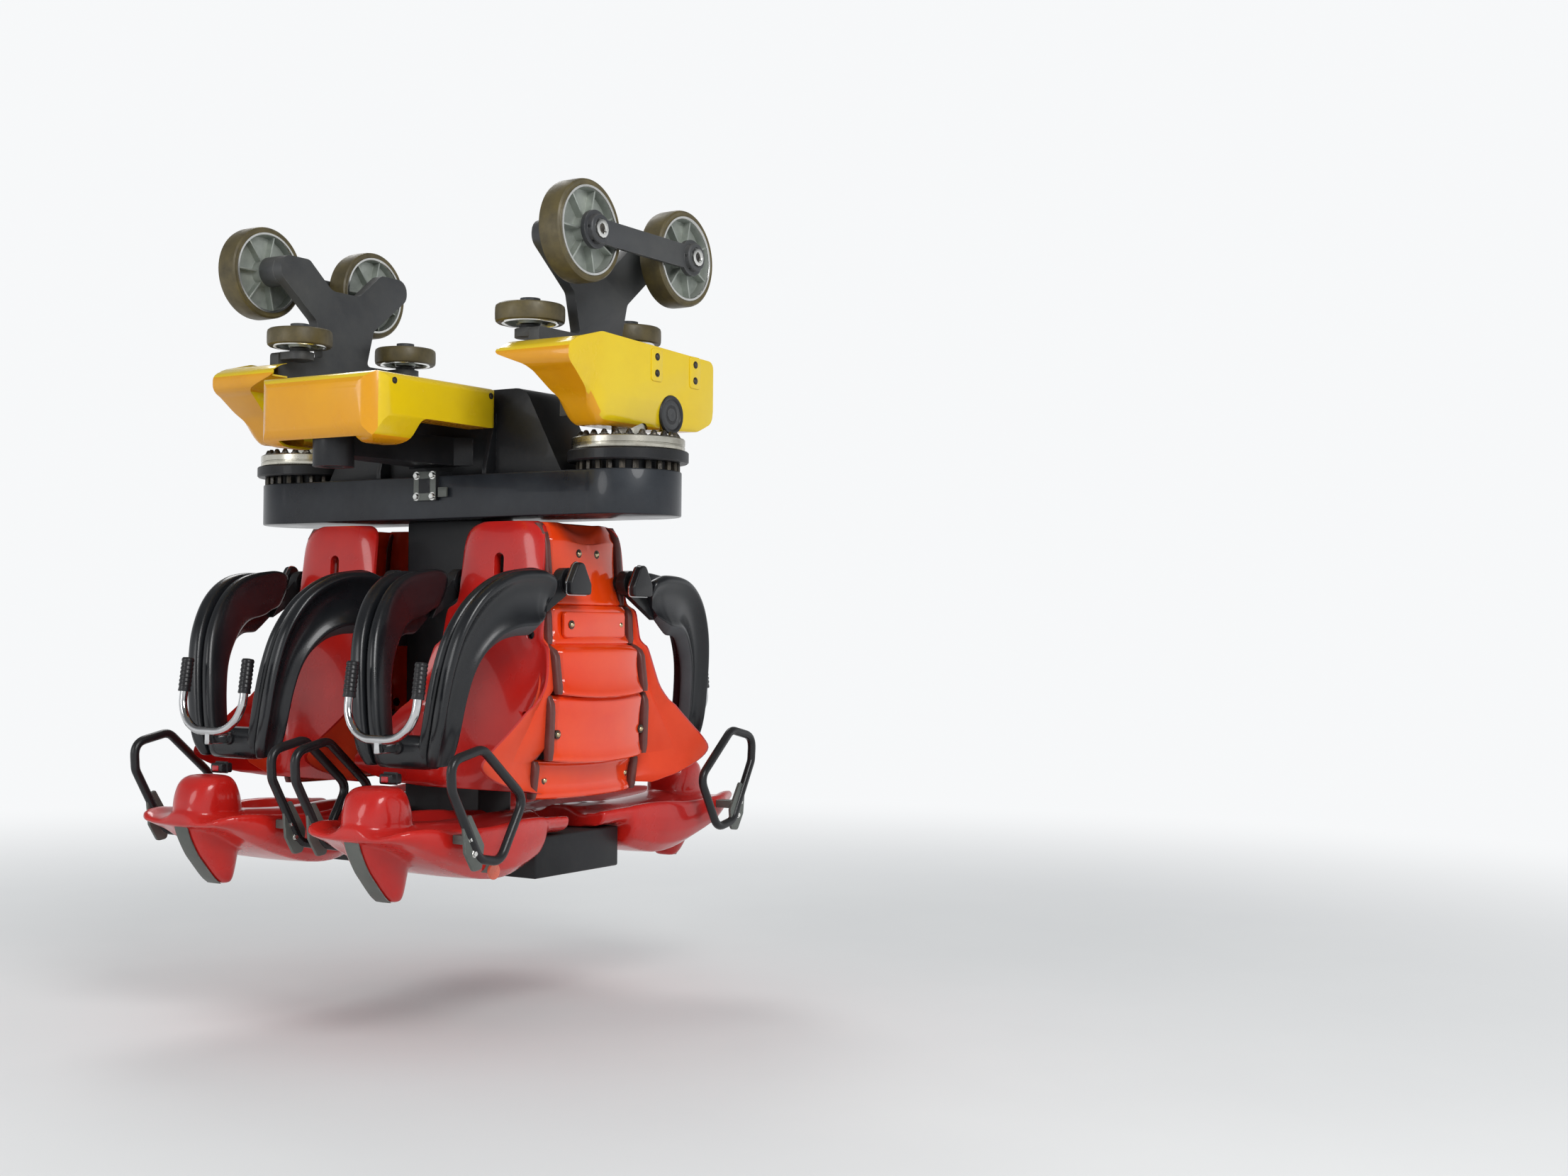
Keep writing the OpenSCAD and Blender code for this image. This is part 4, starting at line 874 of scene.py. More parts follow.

# %% [markdown]
# The yellow covers are moulded, so their edges get a wide round. Under its nose each bogie cover
# sweeps up in a hollow curve, for which it is cut across at many places first. What faces to the
# ends or down is painted amber on the same yellow paint, as painted shade.

# %% Covers with their swept nose
MOULDED = [("bogie_cover_left", 0.010), ("bogie_cover_right", 0.010), ("coupler_hood", 0.009)]
SWEEP_CUTS = [-0.350 + 0.012 * k for k in range(16)]
SWEEP_START, SWEEP_LENGTH = -0.185, 0.085
NOSE_TOP, NOSE_DEPTH, NOSE_LIFT = -0.100, 0.150, 0.070


def swept_nose(obj):
    for x in SWEEP_CUTS:
        only(obj)
        bpy.ops.object.mode_set(mode="EDIT")
        bpy.ops.mesh.select_all(action="SELECT")
        bpy.ops.mesh.bisect(plane_co=(x, 0, 0), plane_no=(1, 0, 0))
        bpy.ops.object.mode_set(mode="OBJECT")
    for vertex in obj.data.vertices:
        x, z = vertex.co.x, vertex.co.z
        along = min(max((SWEEP_START - x) / SWEEP_LENGTH, 0), 1)
        along = along * along * (3 - 2 * along)
        down = min(max((NOSE_TOP - z) / NOSE_DEPTH, 0), 1)
        vertex.co.z += NOSE_LIFT * along * down


for name, bevel in MOULDED:
    piece = paint(carved(name, bevel, 24, 4), cover_yellow)
    if name.startswith("bogie_cover"):
        swept_nose(piece)
    # Faces turned to the ends or down get the amber finish in place of the yellow: painted shade.
    piece.data.materials.append(cover_amber_painted_shade)
    for face in piece.data.polygons:
        face.material_index = int(abs(face.normal.y) < 0.8 and face.normal.z < 0.6)
    settle(piece, name + "_shell", body_of(name), [name], 38)
print("covers:", len(MOULDED))

# %% [markdown]
# Small fittings make the covers believable. Each has two raised pockets with two sunk bolts, and a
# rubber ring round the dark end of the steering pivot.

# %% Pockets, bolts and pivot rings
def sunk_bolt(radius, metal):
    ring = paint(turned([(radius * 0.9, -0.001), (radius * 1.45, -0.001), (radius * 1.45, 0.0012),
                         (radius * 1.2, 0.002), (radius * 0.9, 0.0006)], 24), loop_black)
    head = paint(turned([(0.0008, -0.001), (radius, -0.001), (radius, 0.0016),
                         (radius * 0.8, 0.0034), (radius * 0.3, 0.0042)], 20), metal)
    return joined("sunk_bolt", [ring, head])


def facing_side(obj, place, side):
    """Turn a part that was made facing +Z to face the car's left (-1) or right (1)."""
    turn = Matrix.Rotation(math.radians(-90 * side), 4, "X")
    obj.data.transform(Matrix.Translation(place) @ turn)
    return obj


def rectangle(left, low, right, high, radius):
    """A rounded outline from two corners."""
    return round_corners([(left, low, radius), (right, low, radius), (right, high, radius),
                          (left, high, radius)])


COVER_Y = 0.7060
POCKET_HALF, POCKET_TALL, POCKET_Z = 0.027, 0.048, -0.127
PIVOT_X, PIVOT_Z = 0.122, -0.265
for side, y in SIDES.items():
    parts = []
    for x in (0.045, 0.240):
        pocket = plate(rectangle(x - POCKET_HALF, -POCKET_TALL, x + POCKET_HALF, POCKET_TALL, 0.012),
                       0.004, 0.0018, 3)
        parts.append(facing_side(paint(pocket, cover_yellow), (0, y * (COVER_Y - 0.001), POCKET_Z), y))
        for z in (-0.103, -0.151):
            bolt = sunk_bolt(0.0075, greased_steel)
            parts.append(facing_side(bolt, (x, y * (COVER_Y + 0.003), z), y))
    pivot_ring = paint(turned([(0.044, -0.004), (0.0575, -0.004), (0.0585, 0.001), (0.056, 0.0045),
                               (0.050, 0.005), (0.046, 0.0035), (0.044, 0.0015)], 56), loop_black)
    cap = paint(turned([(0.002, -0.003), (0.0445, -0.003), (0.0445, 0.0005), (0.042, 0.0022),
                        (0.030, 0.0026), (0.0285, 0.0012), (0.020, 0.0012), (0.0185, 0.0034),
                        (0.009, 0.0042), (0.004, 0.0022)], 48), frame_grey)
    for part in (pivot_ring, cap):
        parts.append(facing_side(part, (PIVOT_X, y * (COVER_Y - 0.0015), PIVOT_Z), y))
    settle(joined("cover_fittings", parts), f"bogie_cover_{side}_fittings", f"bogie_{side}",
           (), 40)
print("cover fittings:", len(SIDES))

# %% [markdown]
# The link between the road wheels has a bearing cap with a bright ring nut at each end. They are
# turned, and sit on the outer face of the nut that the CAD node has there.

# %% Ring nuts of the wheel links
LINK_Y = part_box("wheel_link_right")[1].y - 0.003
AXLE_X, AXLE_Z = 0.235, 0.220
print("link nuts lie at", round(LINK_Y, 4))
for side, y in SIDES.items():
    caps = []
    for x in (-AXLE_X, AXLE_X):
        nut = turned([(0.012, -0.002), (0.042, -0.002), (0.042, 0.004), (0.039, 0.007),
                      (0.030, 0.0075), (0.028, 0.005), (0.012, 0.005)], 40)
        bright = turned([(0.013, 0.004), (0.0265, 0.004), (0.0265, 0.0125), (0.024, 0.014),
                         (0.0165, 0.014), (0.0145, 0.0115), (0.013, 0.008)], 12)
        pin = turned([(0.002, 0.003), (0.012, 0.003), (0.012, 0.0105), (0.009, 0.012),
                      (0.003, 0.010)], 24)
        for part, finish in ((nut, frame_grey), (bright, rim_bright), (pin, greased_steel)):
            caps.append(facing_side(paint(part, finish), (x, y * LINK_Y, AXLE_Z), y))
    settle(joined("caps", caps), f"wheel_link_{side}_caps", f"bogie_{side}", (), 40)

# %% [markdown]
# A square plate with four bolts and a small bracket sits on the front of the beam, and the hood
# has dark screws along its upper edge. The plate is made flat and stood up on the beam at the end.

# %% Beam plate and hood screws
PLATE_X, PLATE_Z, PLATE_HALF, BOLT_OUT = -0.1620, -0.4705, 0.044, 0.0317
beam_plate = plate(rectangle(-PLATE_HALF, -PLATE_HALF, PLATE_HALF, PLATE_HALF, 0.004), 0.003, 0.0012, 2)
pane = PLATE_HALF * 0.5
window = plate(rectangle(-pane, -pane, pane, pane, 0.004), 0.002, 0.0008, 2)
window.data.transform(Matrix.Translation((0, 0, 0.003)))
plate_parts = [paint(beam_plate, bracket_grey), paint(window, black_paint)]
for u in (-BOLT_OUT, BOLT_OUT):
    for v in (-BOLT_OUT, BOLT_OUT):
        nut = paint(hex_bolt(0.0095, 0.008), rim_bright)
        nut.data.transform(Matrix.Translation((u, v, 0.0025)))
        plate_parts.append(nut)
bracket = block((0.052, -0.035, -0.006), (0.086, -0.005, 0.002), 0.002, 2)
plate_parts.append(paint(bracket, bracket_grey))
to_front = Matrix(((0, 0, -1, PLATE_X), (-1, 0, 0, 0), (0, 1, 0, PLATE_Z), (0, 0, 0, 1)))
fitting = joined("beam_plate_parts", plate_parts)
fitting.data.transform(to_front)
settle(fitting, "beam_plate_bolts", "car_frame", (), 35)
screws = []
for y in (-1, 1):
    for x in (-0.545, -0.140):
        screws.append(facing_side(sunk_bolt(0.0065, greased_steel), (x, y * 0.2370, -0.210), y))
settle(joined("hood_screws", screws), "coupler_hood_screws", "car_frame", (), 40)
print("fittings added")

# %% [markdown]
# ## A table with more rows
# Seats, pads and horns change smoothly from station to station. Each is given as a short table,
# and rows are added between its rows on a smooth curve, as a batten does on a drawing board.

# %% Rows between rows
def between(rows, steps):
    made, last = [], len(rows) - 1
    for i in range(last):
        a, b, c, d = (rows[min(max(i + k, 0), last)] for k in (-1, 0, 1, 2))
        for k in range(steps):
            t = k / steps
            made.append([0.5 * (2 * q + (r - p) * t + (2 * p - 5 * q + 4 * r - s) * t * t
                                + (3 * q - p - 3 * r + s) * t ** 3) for p, q, r, s in zip(a, b, c, d)])
    return made + [list(rows[-1])]


def power(value, exponent):
    return math.copysign(abs(value) ** exponent, value)


print("smooth rows ready")

# %% [markdown]
# The four seats are one seat, turned to the front or rear and mirrored to the left or right. Each
# of its pieces is modelled once, in a frame with the seat's middle at zero, and copied four times.

# %% The four seats
SEAT_Y, SEAT_Z = 0.330, -0.5855
SEATS = [(f"{end}_{side}", facing, y) for end, facing in ENDS.items() for side, y in SIDES.items()]


def to_seat(obj, facing, side, out=SEAT_Y):
    place = Matrix.Translation((0, side * out, SEAT_Z))
    return twin(obj, place @ Matrix.Diagonal((facing, side, 1, 1)))


print("seats:", [seat for seat, facing, y in SEATS])

# %% [markdown]
# ## Seat backs
# A seat back is one moulded shell: narrow at the head, with a step at the shoulders, wide at the
# hips, where its wings reach forward round the rider. Each row of the table gives how far down it
# lies, its half width, how far forward its middle is, and the reach of its wings. A ring runs
# along the front, round the edge and back behind, so the shell is closed and has a rolled edge.

# %% The seat back's shell
BACK = [(0.000, 0.100, 0.186, 0.000), (0.010, 0.126, 0.192, 0.001), (0.030, 0.143, 0.198, 0.002),
        (0.070, 0.150, 0.203, 0.004), (0.150, 0.152, 0.206, 0.006), (0.225, 0.154, 0.211, 0.008),
        (0.243, 0.162, 0.216, 0.010), (0.258, 0.179, 0.222, 0.012), (0.300, 0.182, 0.229, 0.014),
        (0.340, 0.185, 0.234, 0.016), (0.356, 0.198, 0.236, 0.017), (0.372, 0.212, 0.238, 0.019),
        (0.440, 0.226, 0.246, 0.028), (0.490, 0.231, 0.250, 0.048), (0.545, 0.233, 0.251, 0.110),
        (0.600, 0.234, 0.252, 0.186), (0.650, 0.233, 0.256, 0.256), (0.685, 0.232, 0.258, 0.286),
        (0.715, 0.230, 0.260, 0.250), (0.745, 0.226, 0.262, 0.165), (0.765, 0.222, 0.262, 0.080),
        (0.776, 0.216, 0.262, 0.020)]


def back_ring(drop, half, front, reach):
    points, count, head_height = [], 16, 0.25
    head = max(0.0, 1 - drop / head_height)
    shares = [i / count for i in range(-count, count + 1)]
    for v in shares:
        x = front + reach * abs(v) ** 7 - (0.012 + 0.016 * head) * abs(v) ** 5 * (reach < 0.1)
        points.append((x, half * v, -drop))
    thick = [0.028 - 0.018 * max(0.0, (abs(v) - 0.6) / 0.4) for v in reversed(shares)]
    return points + [(x - t, y * 1.004, z) for t, (x, y, z) in zip(thick, reversed(points))]


REAR_POINTS = (33, 65)
back_start = skin([back_ring(*row) for row in between(BACK, 3)], REAR_POINTS)
for finish in (seat_red, cheek_orange):
    back_start.data.materials.append(finish)
print("seat back:", len(back_start.data.polygons), "faces")

# %% [markdown]
# The shell has a long slot at the head and four round holes for its screws. The slot is cut with
# a plate and the holes with turned cutters, and a recessed dark cup closes each hole.

# %% Holes, slot and screws
def cut(obj, cutter):
    modify(obj, "BOOLEAN", object=cutter, operation="DIFFERENCE", solver="EXACT")
    discard(cutter)


SLOT_RADIUS, SLOT_HALF = 0.018, 0.02
slot_outline = [(SLOT_RADIUS * math.cos(a),
                 SLOT_RADIUS * math.sin(a) + math.copysign(SLOT_HALF, math.sin(a)))
                for a in (math.tau * (k + 0.5) / 20 for k in range(20))]
slot_cutter = plate(slot_outline, 0.14, 0)
slot_cutter.data.transform(Matrix.Translation((0.12, 0, -0.130)) @ STAND_YZ)
cut(back_start, slot_cutter)
HOLES = [(y, drop) for drop in (0.330, 0.560) for y in (-0.144, 0.144)]
for y, drop in HOLES:
    cut(back_start, turned([(0.001, -0.05), (0.013, -0.05), (0.013, 0.05), (0.001, 0.05)], 24,
                           (0.24, y, -drop), True))
modify(back_start, "BEVEL", width=0.0015, segments=2, limit_method="ANGLE",
       angle_limit=math.radians(50))
CUP = [(0.002, -0.012), (0.0135, -0.012), (0.0135, 0.002), (0.011, 0.002), (0.011, -0.006),
       (0.002, -0.006)]
cups = [turned(CUP, 20, (0.226 if drop < 0.4 else 0.235, y, -drop), True) for y, drop in HOLES]
cups_start = paint(joined("cups", cups), black_paint)
for seat, facing, y in SEATS:
    parts = [to_seat(back_start, facing, y), to_seat(cups_start, facing, y)]
    settle(joined("back_parts", parts), f"seat_back_{seat}_shell", "car_frame",
           [f"seat_back_{seat}"], 40)
discard(back_start, cups_start)
print("seat backs:", len(SEATS))

# %% [markdown]
# ## Seat pans
# The rider straddles the pan: two thigh supports fall away each side of a raised middle, and a
# tall horn stands between the legs. The pan is a skin through stations along the car, and the
# horn one through stations from its foot up. A voxel remesh melts the two into one moulding. The
# pan's table gives place along the car, share of the width and the heights of thigh, edge and
# foot. The horn's gives drop, middle, depth and half width.

# %% The pan and its horn
PAN = [(0.082, 0.78, -0.002, 0.008, -0.042), (0.196, 0.86, -0.004, 0.014, -0.042),
       (0.212, 0.88, -0.004, 0.016, -0.096), (0.256, 0.92, -0.006, 0.020, -0.118),
       (0.350, 0.98, -0.010, 0.022, -0.140), (0.450, 1.0, -0.008, 0.014, -0.136),
       (0.550, 1.0, -0.002, 0.014, -0.110), (0.640, 1.0, 0.006, 0.020, -0.076),
       (0.710, 0.90, 0.012, 0.026, -0.040), (0.772, 0.78, 0.010, 0.020, -0.016),
       (0.794, 0.66, 0.002, 0.006, -0.008)]
HORN = [(1.049, 0.640, 0.018, 0.034), (1.030, 0.648, 0.034, 0.046), (0.990, 0.661, 0.056, 0.056),
        (0.950, 0.674, 0.074, 0.066), (0.884, 0.688, 0.092, 0.077), (0.820, 0.690, 0.094, 0.081),
        (0.772, 0.692, 0.078, 0.079), (0.750, 0.691, 0.062, 0.072), (0.739, 0.689, 0.044, 0.058),
        (0.736, 0.688, 0.020, 0.030)]


PAN_HALF, PAN_Z = 0.222, -0.862


def pan_ring(x, share, thigh, edge, foot):
    half, wall = PAN_HALF * share, foot - edge
    outer = [(0.0, thigh + 0.022), (0.12, thigh + 0.021), (0.24, thigh + 0.016),
             (0.36, thigh + 0.004), (0.52, thigh - 0.006), (0.72, thigh - 0.002),
             (0.88, edge - 0.002), (0.96, edge), (1.0, edge - 0.007), (1.0, edge + wall * 0.35),
             (0.97, edge + wall * 0.6), (0.9, edge + wall * 0.82), (0.72, foot), (0.4, foot - 0.003),
             (0.0, foot - 0.004)]
    ring = [(x, half * v, PAN_Z + h) for v, h in outer]
    return ring + [(x, -half * v, PAN_Z + h) for v, h in reversed(outer[1:-1])]


pan = skin([pan_ring(*row) for row in between(PAN, 3)])
horn_rings = []
for drop, middle, depth, half in between(HORN, 3):
    horn_rings.append([(middle + depth * power(math.cos(a), 0.8), half * power(math.sin(a), 0.8), -drop)
                       for a in (math.tau * k / 32 for k in range(32))])
horn = skin(horn_rings)
pan_start = joined("pan_start", [pan, horn])
modify(pan_start, "REMESH", mode="VOXEL", voxel_size=0.006, adaptivity=0.0)
modify(pan_start, "SMOOTH", factor=0.5, iterations=6)
modify(pan_start, "DECIMATE", ratio=0.5)
paint(pan_start, seat_red)
print("seat pan:", len(pan_start.data.polygons), "faces")

# %% [markdown]
# A grey metal strip protects the front of the horn, bent to its curve. It is a skin of thin
# sections that follow the horn's own table.

# %% Strip down the horn
STRIP_HALF = 0.0262
strip_rings = []
for drop, middle, depth, half in between(HORN, 4):
    if drop > 0.85:
        x, w = middle + depth * 0.985 + 0.001, STRIP_HALF
        strip_rings.append([(x, -w, -drop), (x + 0.0035, -w, -drop), (x + 0.0055, 0, -drop),
                            (x + 0.0035, w, -drop), (x, w, -drop), (x - 0.002, 0, -drop)])
strip_start = paint(skin(strip_rings), bracket_grey)
print("strip:", len(strip_rings), "sections")

# %% [markdown]
# An orange reflector disc peeps out below the outer bracket of each front seat, on a small stay
# from the pan's side. The disc is turned and the stay is a block.

# %% Reflectors, and the pans in place
disc = turned([(0.002, -0.003), (0.021, -0.003), (0.0225, 0.0), (0.0225, 0.004), (0.021, 0.006),
               (0.012, 0.0065), (0.003, 0.0068)], 36)
disc = paint(facing_side(disc, (0.4700, 0.2180, -0.9700), 1), reflector_orange)
stay = block((0.4620, 0.1600, -0.9740), (0.4860, 0.2160, -0.9480), 0.0025, 2)
reflector_start = joined("reflector_start", [disc, paint(stay, bracket_grey)])
for side, y in SIDES.items():
    settle(to_seat(reflector_start, ENDS["front"], y), f"seat_pan_front_{side}_disc", "car_frame",
           (), 40)
for seat, facing, y in SEATS:
    name = f"seat_pan_{seat}"
    settle(to_seat(pan_start, facing, y), name + "_saddle", "car_frame", [name], 60)
    settle(to_seat(strip_start, facing, y), name + "_strip", "car_frame", (), 40)
discard(reflector_start, pan_start, strip_start)
print("seat pans:", len(SEATS))

# %% [markdown]
# ## Side panels
# Five moulded tiers lap over each other like roof tiles, wider from the head down to the hips.
# Each tier is a skin with a sloped ledge at its top and a rolled lip at its foot. The lower edges
# of the third and fourth hang in a shallow curve. The table gives drop of top and foot, half
# length, reach at top and foot, depth and height of the ledge, and the hang of the foot.

# %% The five tiers
TIERS = [(0.002, 0.243, 0.158, 0.482, 0.505, 0.020, 0.045, 0.000),
         (0.240, 0.358, 0.183, 0.515, 0.522, 0.014, 0.010, 0.000),
         (0.352, 0.500, 0.194, 0.552, 0.571, 0.032, 0.020, 0.012),
         (0.498, 0.688, 0.214, 0.560, 0.553, 0.012, 0.010, 0.012),
         (0.686, 0.798, 0.224, 0.514, 0.500, 0.006, 0.008, 0.004)]
BACK_Y = 0.436


TIER_DEPTH, SCOOP_HALF = 0.030, 0.62


def tier_ring(half, reach, drop, inset, hang, scoop):
    """One half runs round the corners and over the crowned face, and the other goes behind."""
    ring, count = [], 12
    shares = [i / count for i in range(-count, count + 1)]
    for v in shares:
        crown = 0.008 - 0.020 * abs(v) ** 2.4
        corner = 0.014 * max(0.0, (abs(v) - 0.9) / 0.1) ** 2
        dip = scoop * (1 - (v / SCOOP_HALF) ** 2 if abs(v) < SCOOP_HALF else 0)
        ring.append(((half - inset * 0.5) * v, reach + crown - corner - inset,
                     -(drop + hang * (1 - v * v) + dip)))
    behind = max(BACK_Y, reach - TIER_DEPTH - inset)
    for v in reversed(shares):
        ring.append(((half - inset * 0.5 - 0.010) * v, behind, -(drop + hang * (1 - v * v) * 0.5)))
    return ring


def make_tier(top, foot, half, reach_top, reach_foot, ledge, ledge_h, hang, scoop):
    head_hang, fold = 0.010 if top > 0.4 else 0.0, top + ledge_h
    face_top, face_foot = fold + 0.010, foot - 0.016
    rows = [(top, ledge + 0.004, head_hang, scoop), (top + 0.002, ledge, head_hang, scoop),
            (top + ledge_h * 0.5, ledge * 0.45, head_hang, scoop * 0.8),
            (fold, 0.003, head_hang, scoop * 0.55), (fold + 0.004, 0.0005, head_hang, scoop * 0.45),
            (face_top, 0.0, head_hang, scoop * 0.3)]
    for k in range(1, 6):
        t = k / 6
        rows.append((face_top + (face_foot - face_top) * t, 0.004 * math.sin(math.pi * t),
                     head_hang * (1 - t) + hang * t, scoop * 0.3 * max(0, 1 - 3 * t)))
    for above, inset in ((0.018, -0.003), (0.010, -0.0065), (0.004, -0.006), (0.0005, -0.0025),
                         (0.0, 0.003), (0.002, 0.010)):
        rows.append((foot - above, inset, hang, 0))
    slope = (reach_foot - reach_top) / (foot - top)
    return skin([tier_ring(half, reach_top + slope * (drop - top), drop, inset, bow, dip)
                 for drop, inset, bow, dip in rows])


HEAD_SCOOP = 0.030
tiers = [make_tier(*row, HEAD_SCOOP if i == 0 else 0.0) for i, row in enumerate(TIERS)]
raised = plate(rectangle(-0.148, -0.338, 0.142, -0.262, 0.014), 0.012, 0.004, 3)
raised.data.transform(Matrix.Translation((0, 0.529, 0)) @ STAND_XZ)
panel_start = paint(joined("panel_start", [*tiers, raised]), panel_orange)
print("side panel:", len(panel_start.data.polygons), "faces")

# %% [markdown]
# Rubber strips seal the panel's two edges, in steps with the tiers. A strip is a skin of rounded
# sections that runs down the corner of its tier.

# %% Rubber strips
strips = []
for top, foot, half, reach_top, reach_foot, ledge, ledge_h, hang in TIERS:
    for edge in (-1, 1):
        rings = []
        for k in range(9):
            t = k / 8
            drop = top + 0.004 + (foot - top - 0.006) * t
            y = reach_top + (reach_foot - reach_top) * t - 0.017 - ledge * max(0, 1 - t * 6)
            x = edge * (half + 0.010)
            swell = 1.0 if 0 < k < 8 else 0.8
            rings.append([(x + 0.0125 * swell * power(math.cos(a), 0.6),
                           y + 0.013 * swell * power(math.sin(a), 0.6), -drop)
                          for a in (math.tau * i / 16 for i in range(16))])
        strips.append(skin(rings))
strips_start = paint(joined("strips_start", strips), strip_rubber)
print("rubber strips:", len(strips))

# %% [markdown]
# Small brass-coloured domed bolts on dark washers hold the panel. The table gives place along the
# car, drop and reach.

# %% Bolts of the panel
PANEL_BOLTS = [(-0.042, 0.092, 0.4945), (0.042, 0.092, 0.4945), (-0.118, 0.300, 0.531),
               (0.122, 0.300, 0.525), (-0.198, 0.612, 0.548), (0.198, 0.612, 0.548),
               (0.190, 0.745, 0.494), (-0.190, 0.745, 0.494)]
bolt_parts = []
for x, drop, y in PANEL_BOLTS:
    dome = turned([(0.002, -0.012), (0.0085, -0.012), (0.0085, 0.0015), (0.0075, 0.004),
                   (0.0045, 0.0068), (0.0015, 0.0076)], 20)
    washer = turned([(0.007, -0.012), (0.0125, -0.012), (0.0125, 0.0012), (0.0115, 0.002),
                     (0.007, 0.002)], 24)
    for part, finish in ((washer, greased_steel), (dome, bolt_steel)):
        bolt_parts.append(facing_side(paint(part, finish), (x, y, -drop), 1))
bolts_start = joined("bolts_start", bolt_parts)
print("bolts:", len(PANEL_BOLTS))

# %% [markdown]
# Between the panel's edge and the back of each seat's wing lies a dull orange wall, the cheek. It
# is a thin skin whose ends are read from the tables of the panel and of the seat back.

# %% Cheeks, and the side panels in place
def cheek_ring(drop, share):
    half, front, reach = (lookup(drop, k) for k in (1, 2, 3))
    edge_x, edge_y = panel_edge(drop)
    wing_x, wing_y = front + reach * 0.5 - 0.012, SEAT_Y + half * 0.90
    points = []
    for k in range(9):
        t = k / 8
        bow = 0.006 * math.sin(math.pi * t)
        points.append((edge_x + (wing_x - edge_x) * t, edge_y + (wing_y - edge_y) * t + bow, -drop))
    return points + [(x + 0.002, y - 0.010 * share, z) for x, y, z in reversed(points)]


def lookup(drop, column):
    for low, high in zip(BACK, BACK[1:]):
        if low[0] <= drop <= high[0]:
            t = (drop - low[0]) / (high[0] - low[0])
            return low[column] + (high[column] - low[column]) * t
    return BACK[-1][column]


def panel_edge(drop):
    beyond, behind = 0.012, 0.026
    for top, foot, half, reach_top, reach_foot, *rest in TIERS:
        if top <= drop <= foot:
            t = (drop - top) / (foot - top)
            return half + beyond, reach_top + (reach_foot - reach_top) * t - behind
    raise ValueError("no tier at this drop")


CHEEK_DROPS = [0.262, 0.30, 0.34, 0.37, 0.40, 0.44, 0.48, 0.51, 0.55, 0.60, 0.65, 0.69, 0.73, 0.76,
               0.775]
cheek_ends = (CHEEK_DROPS[0], CHEEK_DROPS[-1])
cheek = skin([cheek_ring(drop, 0.4 if drop in cheek_ends else 1.0) for drop in CHEEK_DROPS])
paint(cheek, cheek_orange)
cheeks_start = joined("cheeks_start", [cheek, twin(cheek, Matrix.Diagonal((-1, 1, 1, 1)))])
for side, y in SIDES.items():
    for start, part, slot, stands_for, smooth in (
            (cheeks_start, "cheeks", "seat_red", (), 50),
            (panel_start, "tiers", "panel_orange", ["side_panels"], 32),
            (strips_start, "strips", "pad_black", (), 50), (bolts_start, "bolts", "ring_steel", (), 40)):
        settle(to_seat(start, 1, y, 0), f"side_panel_{side}_{part}", "car_frame", stands_for,
               smooth)
discard(panel_start, strips_start, bolts_start, cheeks_start)
print("side panels:", len(SIDES))

# %% [markdown]
# ## Shoulder harness
# The pads are moulded foam with a tough skin. Outside each is a leaf-shaped wing: a raised rim
# round a shallow dish, broad at the shoulder and slim down the chest. A rounder cushion lies on
# the rider's side of it, and a groove parts the two. Each row gives place along the car, height,
# direction, half breadth, share of the full thickness and distance from the seat's middle. A
# Subdivision Surface rounds the skin, as foam has no edges.

# %% Wings of the pads
PAD = [(0.252, -0.247, 30, 0.044, 0.55, 0.206), (0.268, -0.240, 26, 0.078, 0.86, 0.206),
       (0.292, -0.238, 17, 0.089, 0.97, 0.206), (0.320, -0.238, 6, 0.093, 1.0, 0.206),
       (0.400, -0.246, -16, 0.091, 1.0, 0.198), (0.470, -0.282, -38, 0.083, 1.0, 0.180),
       (0.522, -0.345, -58, 0.071, 1.0, 0.162), (0.552, -0.415, -72, 0.059, 1.0, 0.148),
       (0.568, -0.500, -81, 0.053, 1.0, 0.134), (0.575, -0.590, -87, 0.050, 1.0, 0.120),
       (0.575, -0.650, -92, 0.047, 0.94, 0.106), (0.571, -0.688, -96, 0.036, 0.66, 0.098)]


PAD_THICK = 0.046


def section(row, profile):
    x, z, direction, half, share, y = row
    angle = math.radians(direction)
    return [(x - half * u * math.sin(angle), y + PAD_THICK * share * v,
             z + half * u * math.cos(angle)) for u, v in profile]


WING = [(0.97, 0.30), (1.0, 0.55), (0.97, 0.80), (0.90, 0.96), (0.82, 1.0), (0.74, 0.95),
        (0.66, 0.82), (0.55, 0.64), (0.40, 0.49), (0.20, 0.41), (0.0, 0.41), (-0.20, 0.47),
        (-0.38, 0.60), (-0.50, 0.75), (-0.58, 0.85), (-0.645, 0.89), (-0.70, 0.86), (-0.80, 0.68),
        (-0.91, 0.46), (-0.985, 0.27), (-1.0, 0.14), (-0.95, 0.05), (-0.82, 0.0), (-0.5, -0.03),
        (0.0, -0.04), (0.5, -0.02), (0.80, 0.03), (0.92, 0.12)]
FLAT_EDGE = (16, 21)
rows = between(PAD, 4)
wing = skin([section(row, WING) for row in rows], FLAT_EDGE)
for finish in (pad_black, pad_edge):
    wing.data.materials.append(finish)
modify(wing, "SUBSURF", levels=1, render_levels=1)
print("wing:", len(rows), "sections")

# %% [markdown]
# The cushion follows the same rows with a rounder section, which swells at the shoulder. A lap pad
# lies across between the two sides, and all of them are one foam piece on each seat.

# %% Cushions, lap pads and the pads in place
def cushion_profile(lift, count=28):
    return [(0.74 * power(math.cos(a), 0.75) + lift, -0.52 + 0.48 * power(math.sin(a), 0.75))
            for a in (math.tau * k / count for k in range(count))]


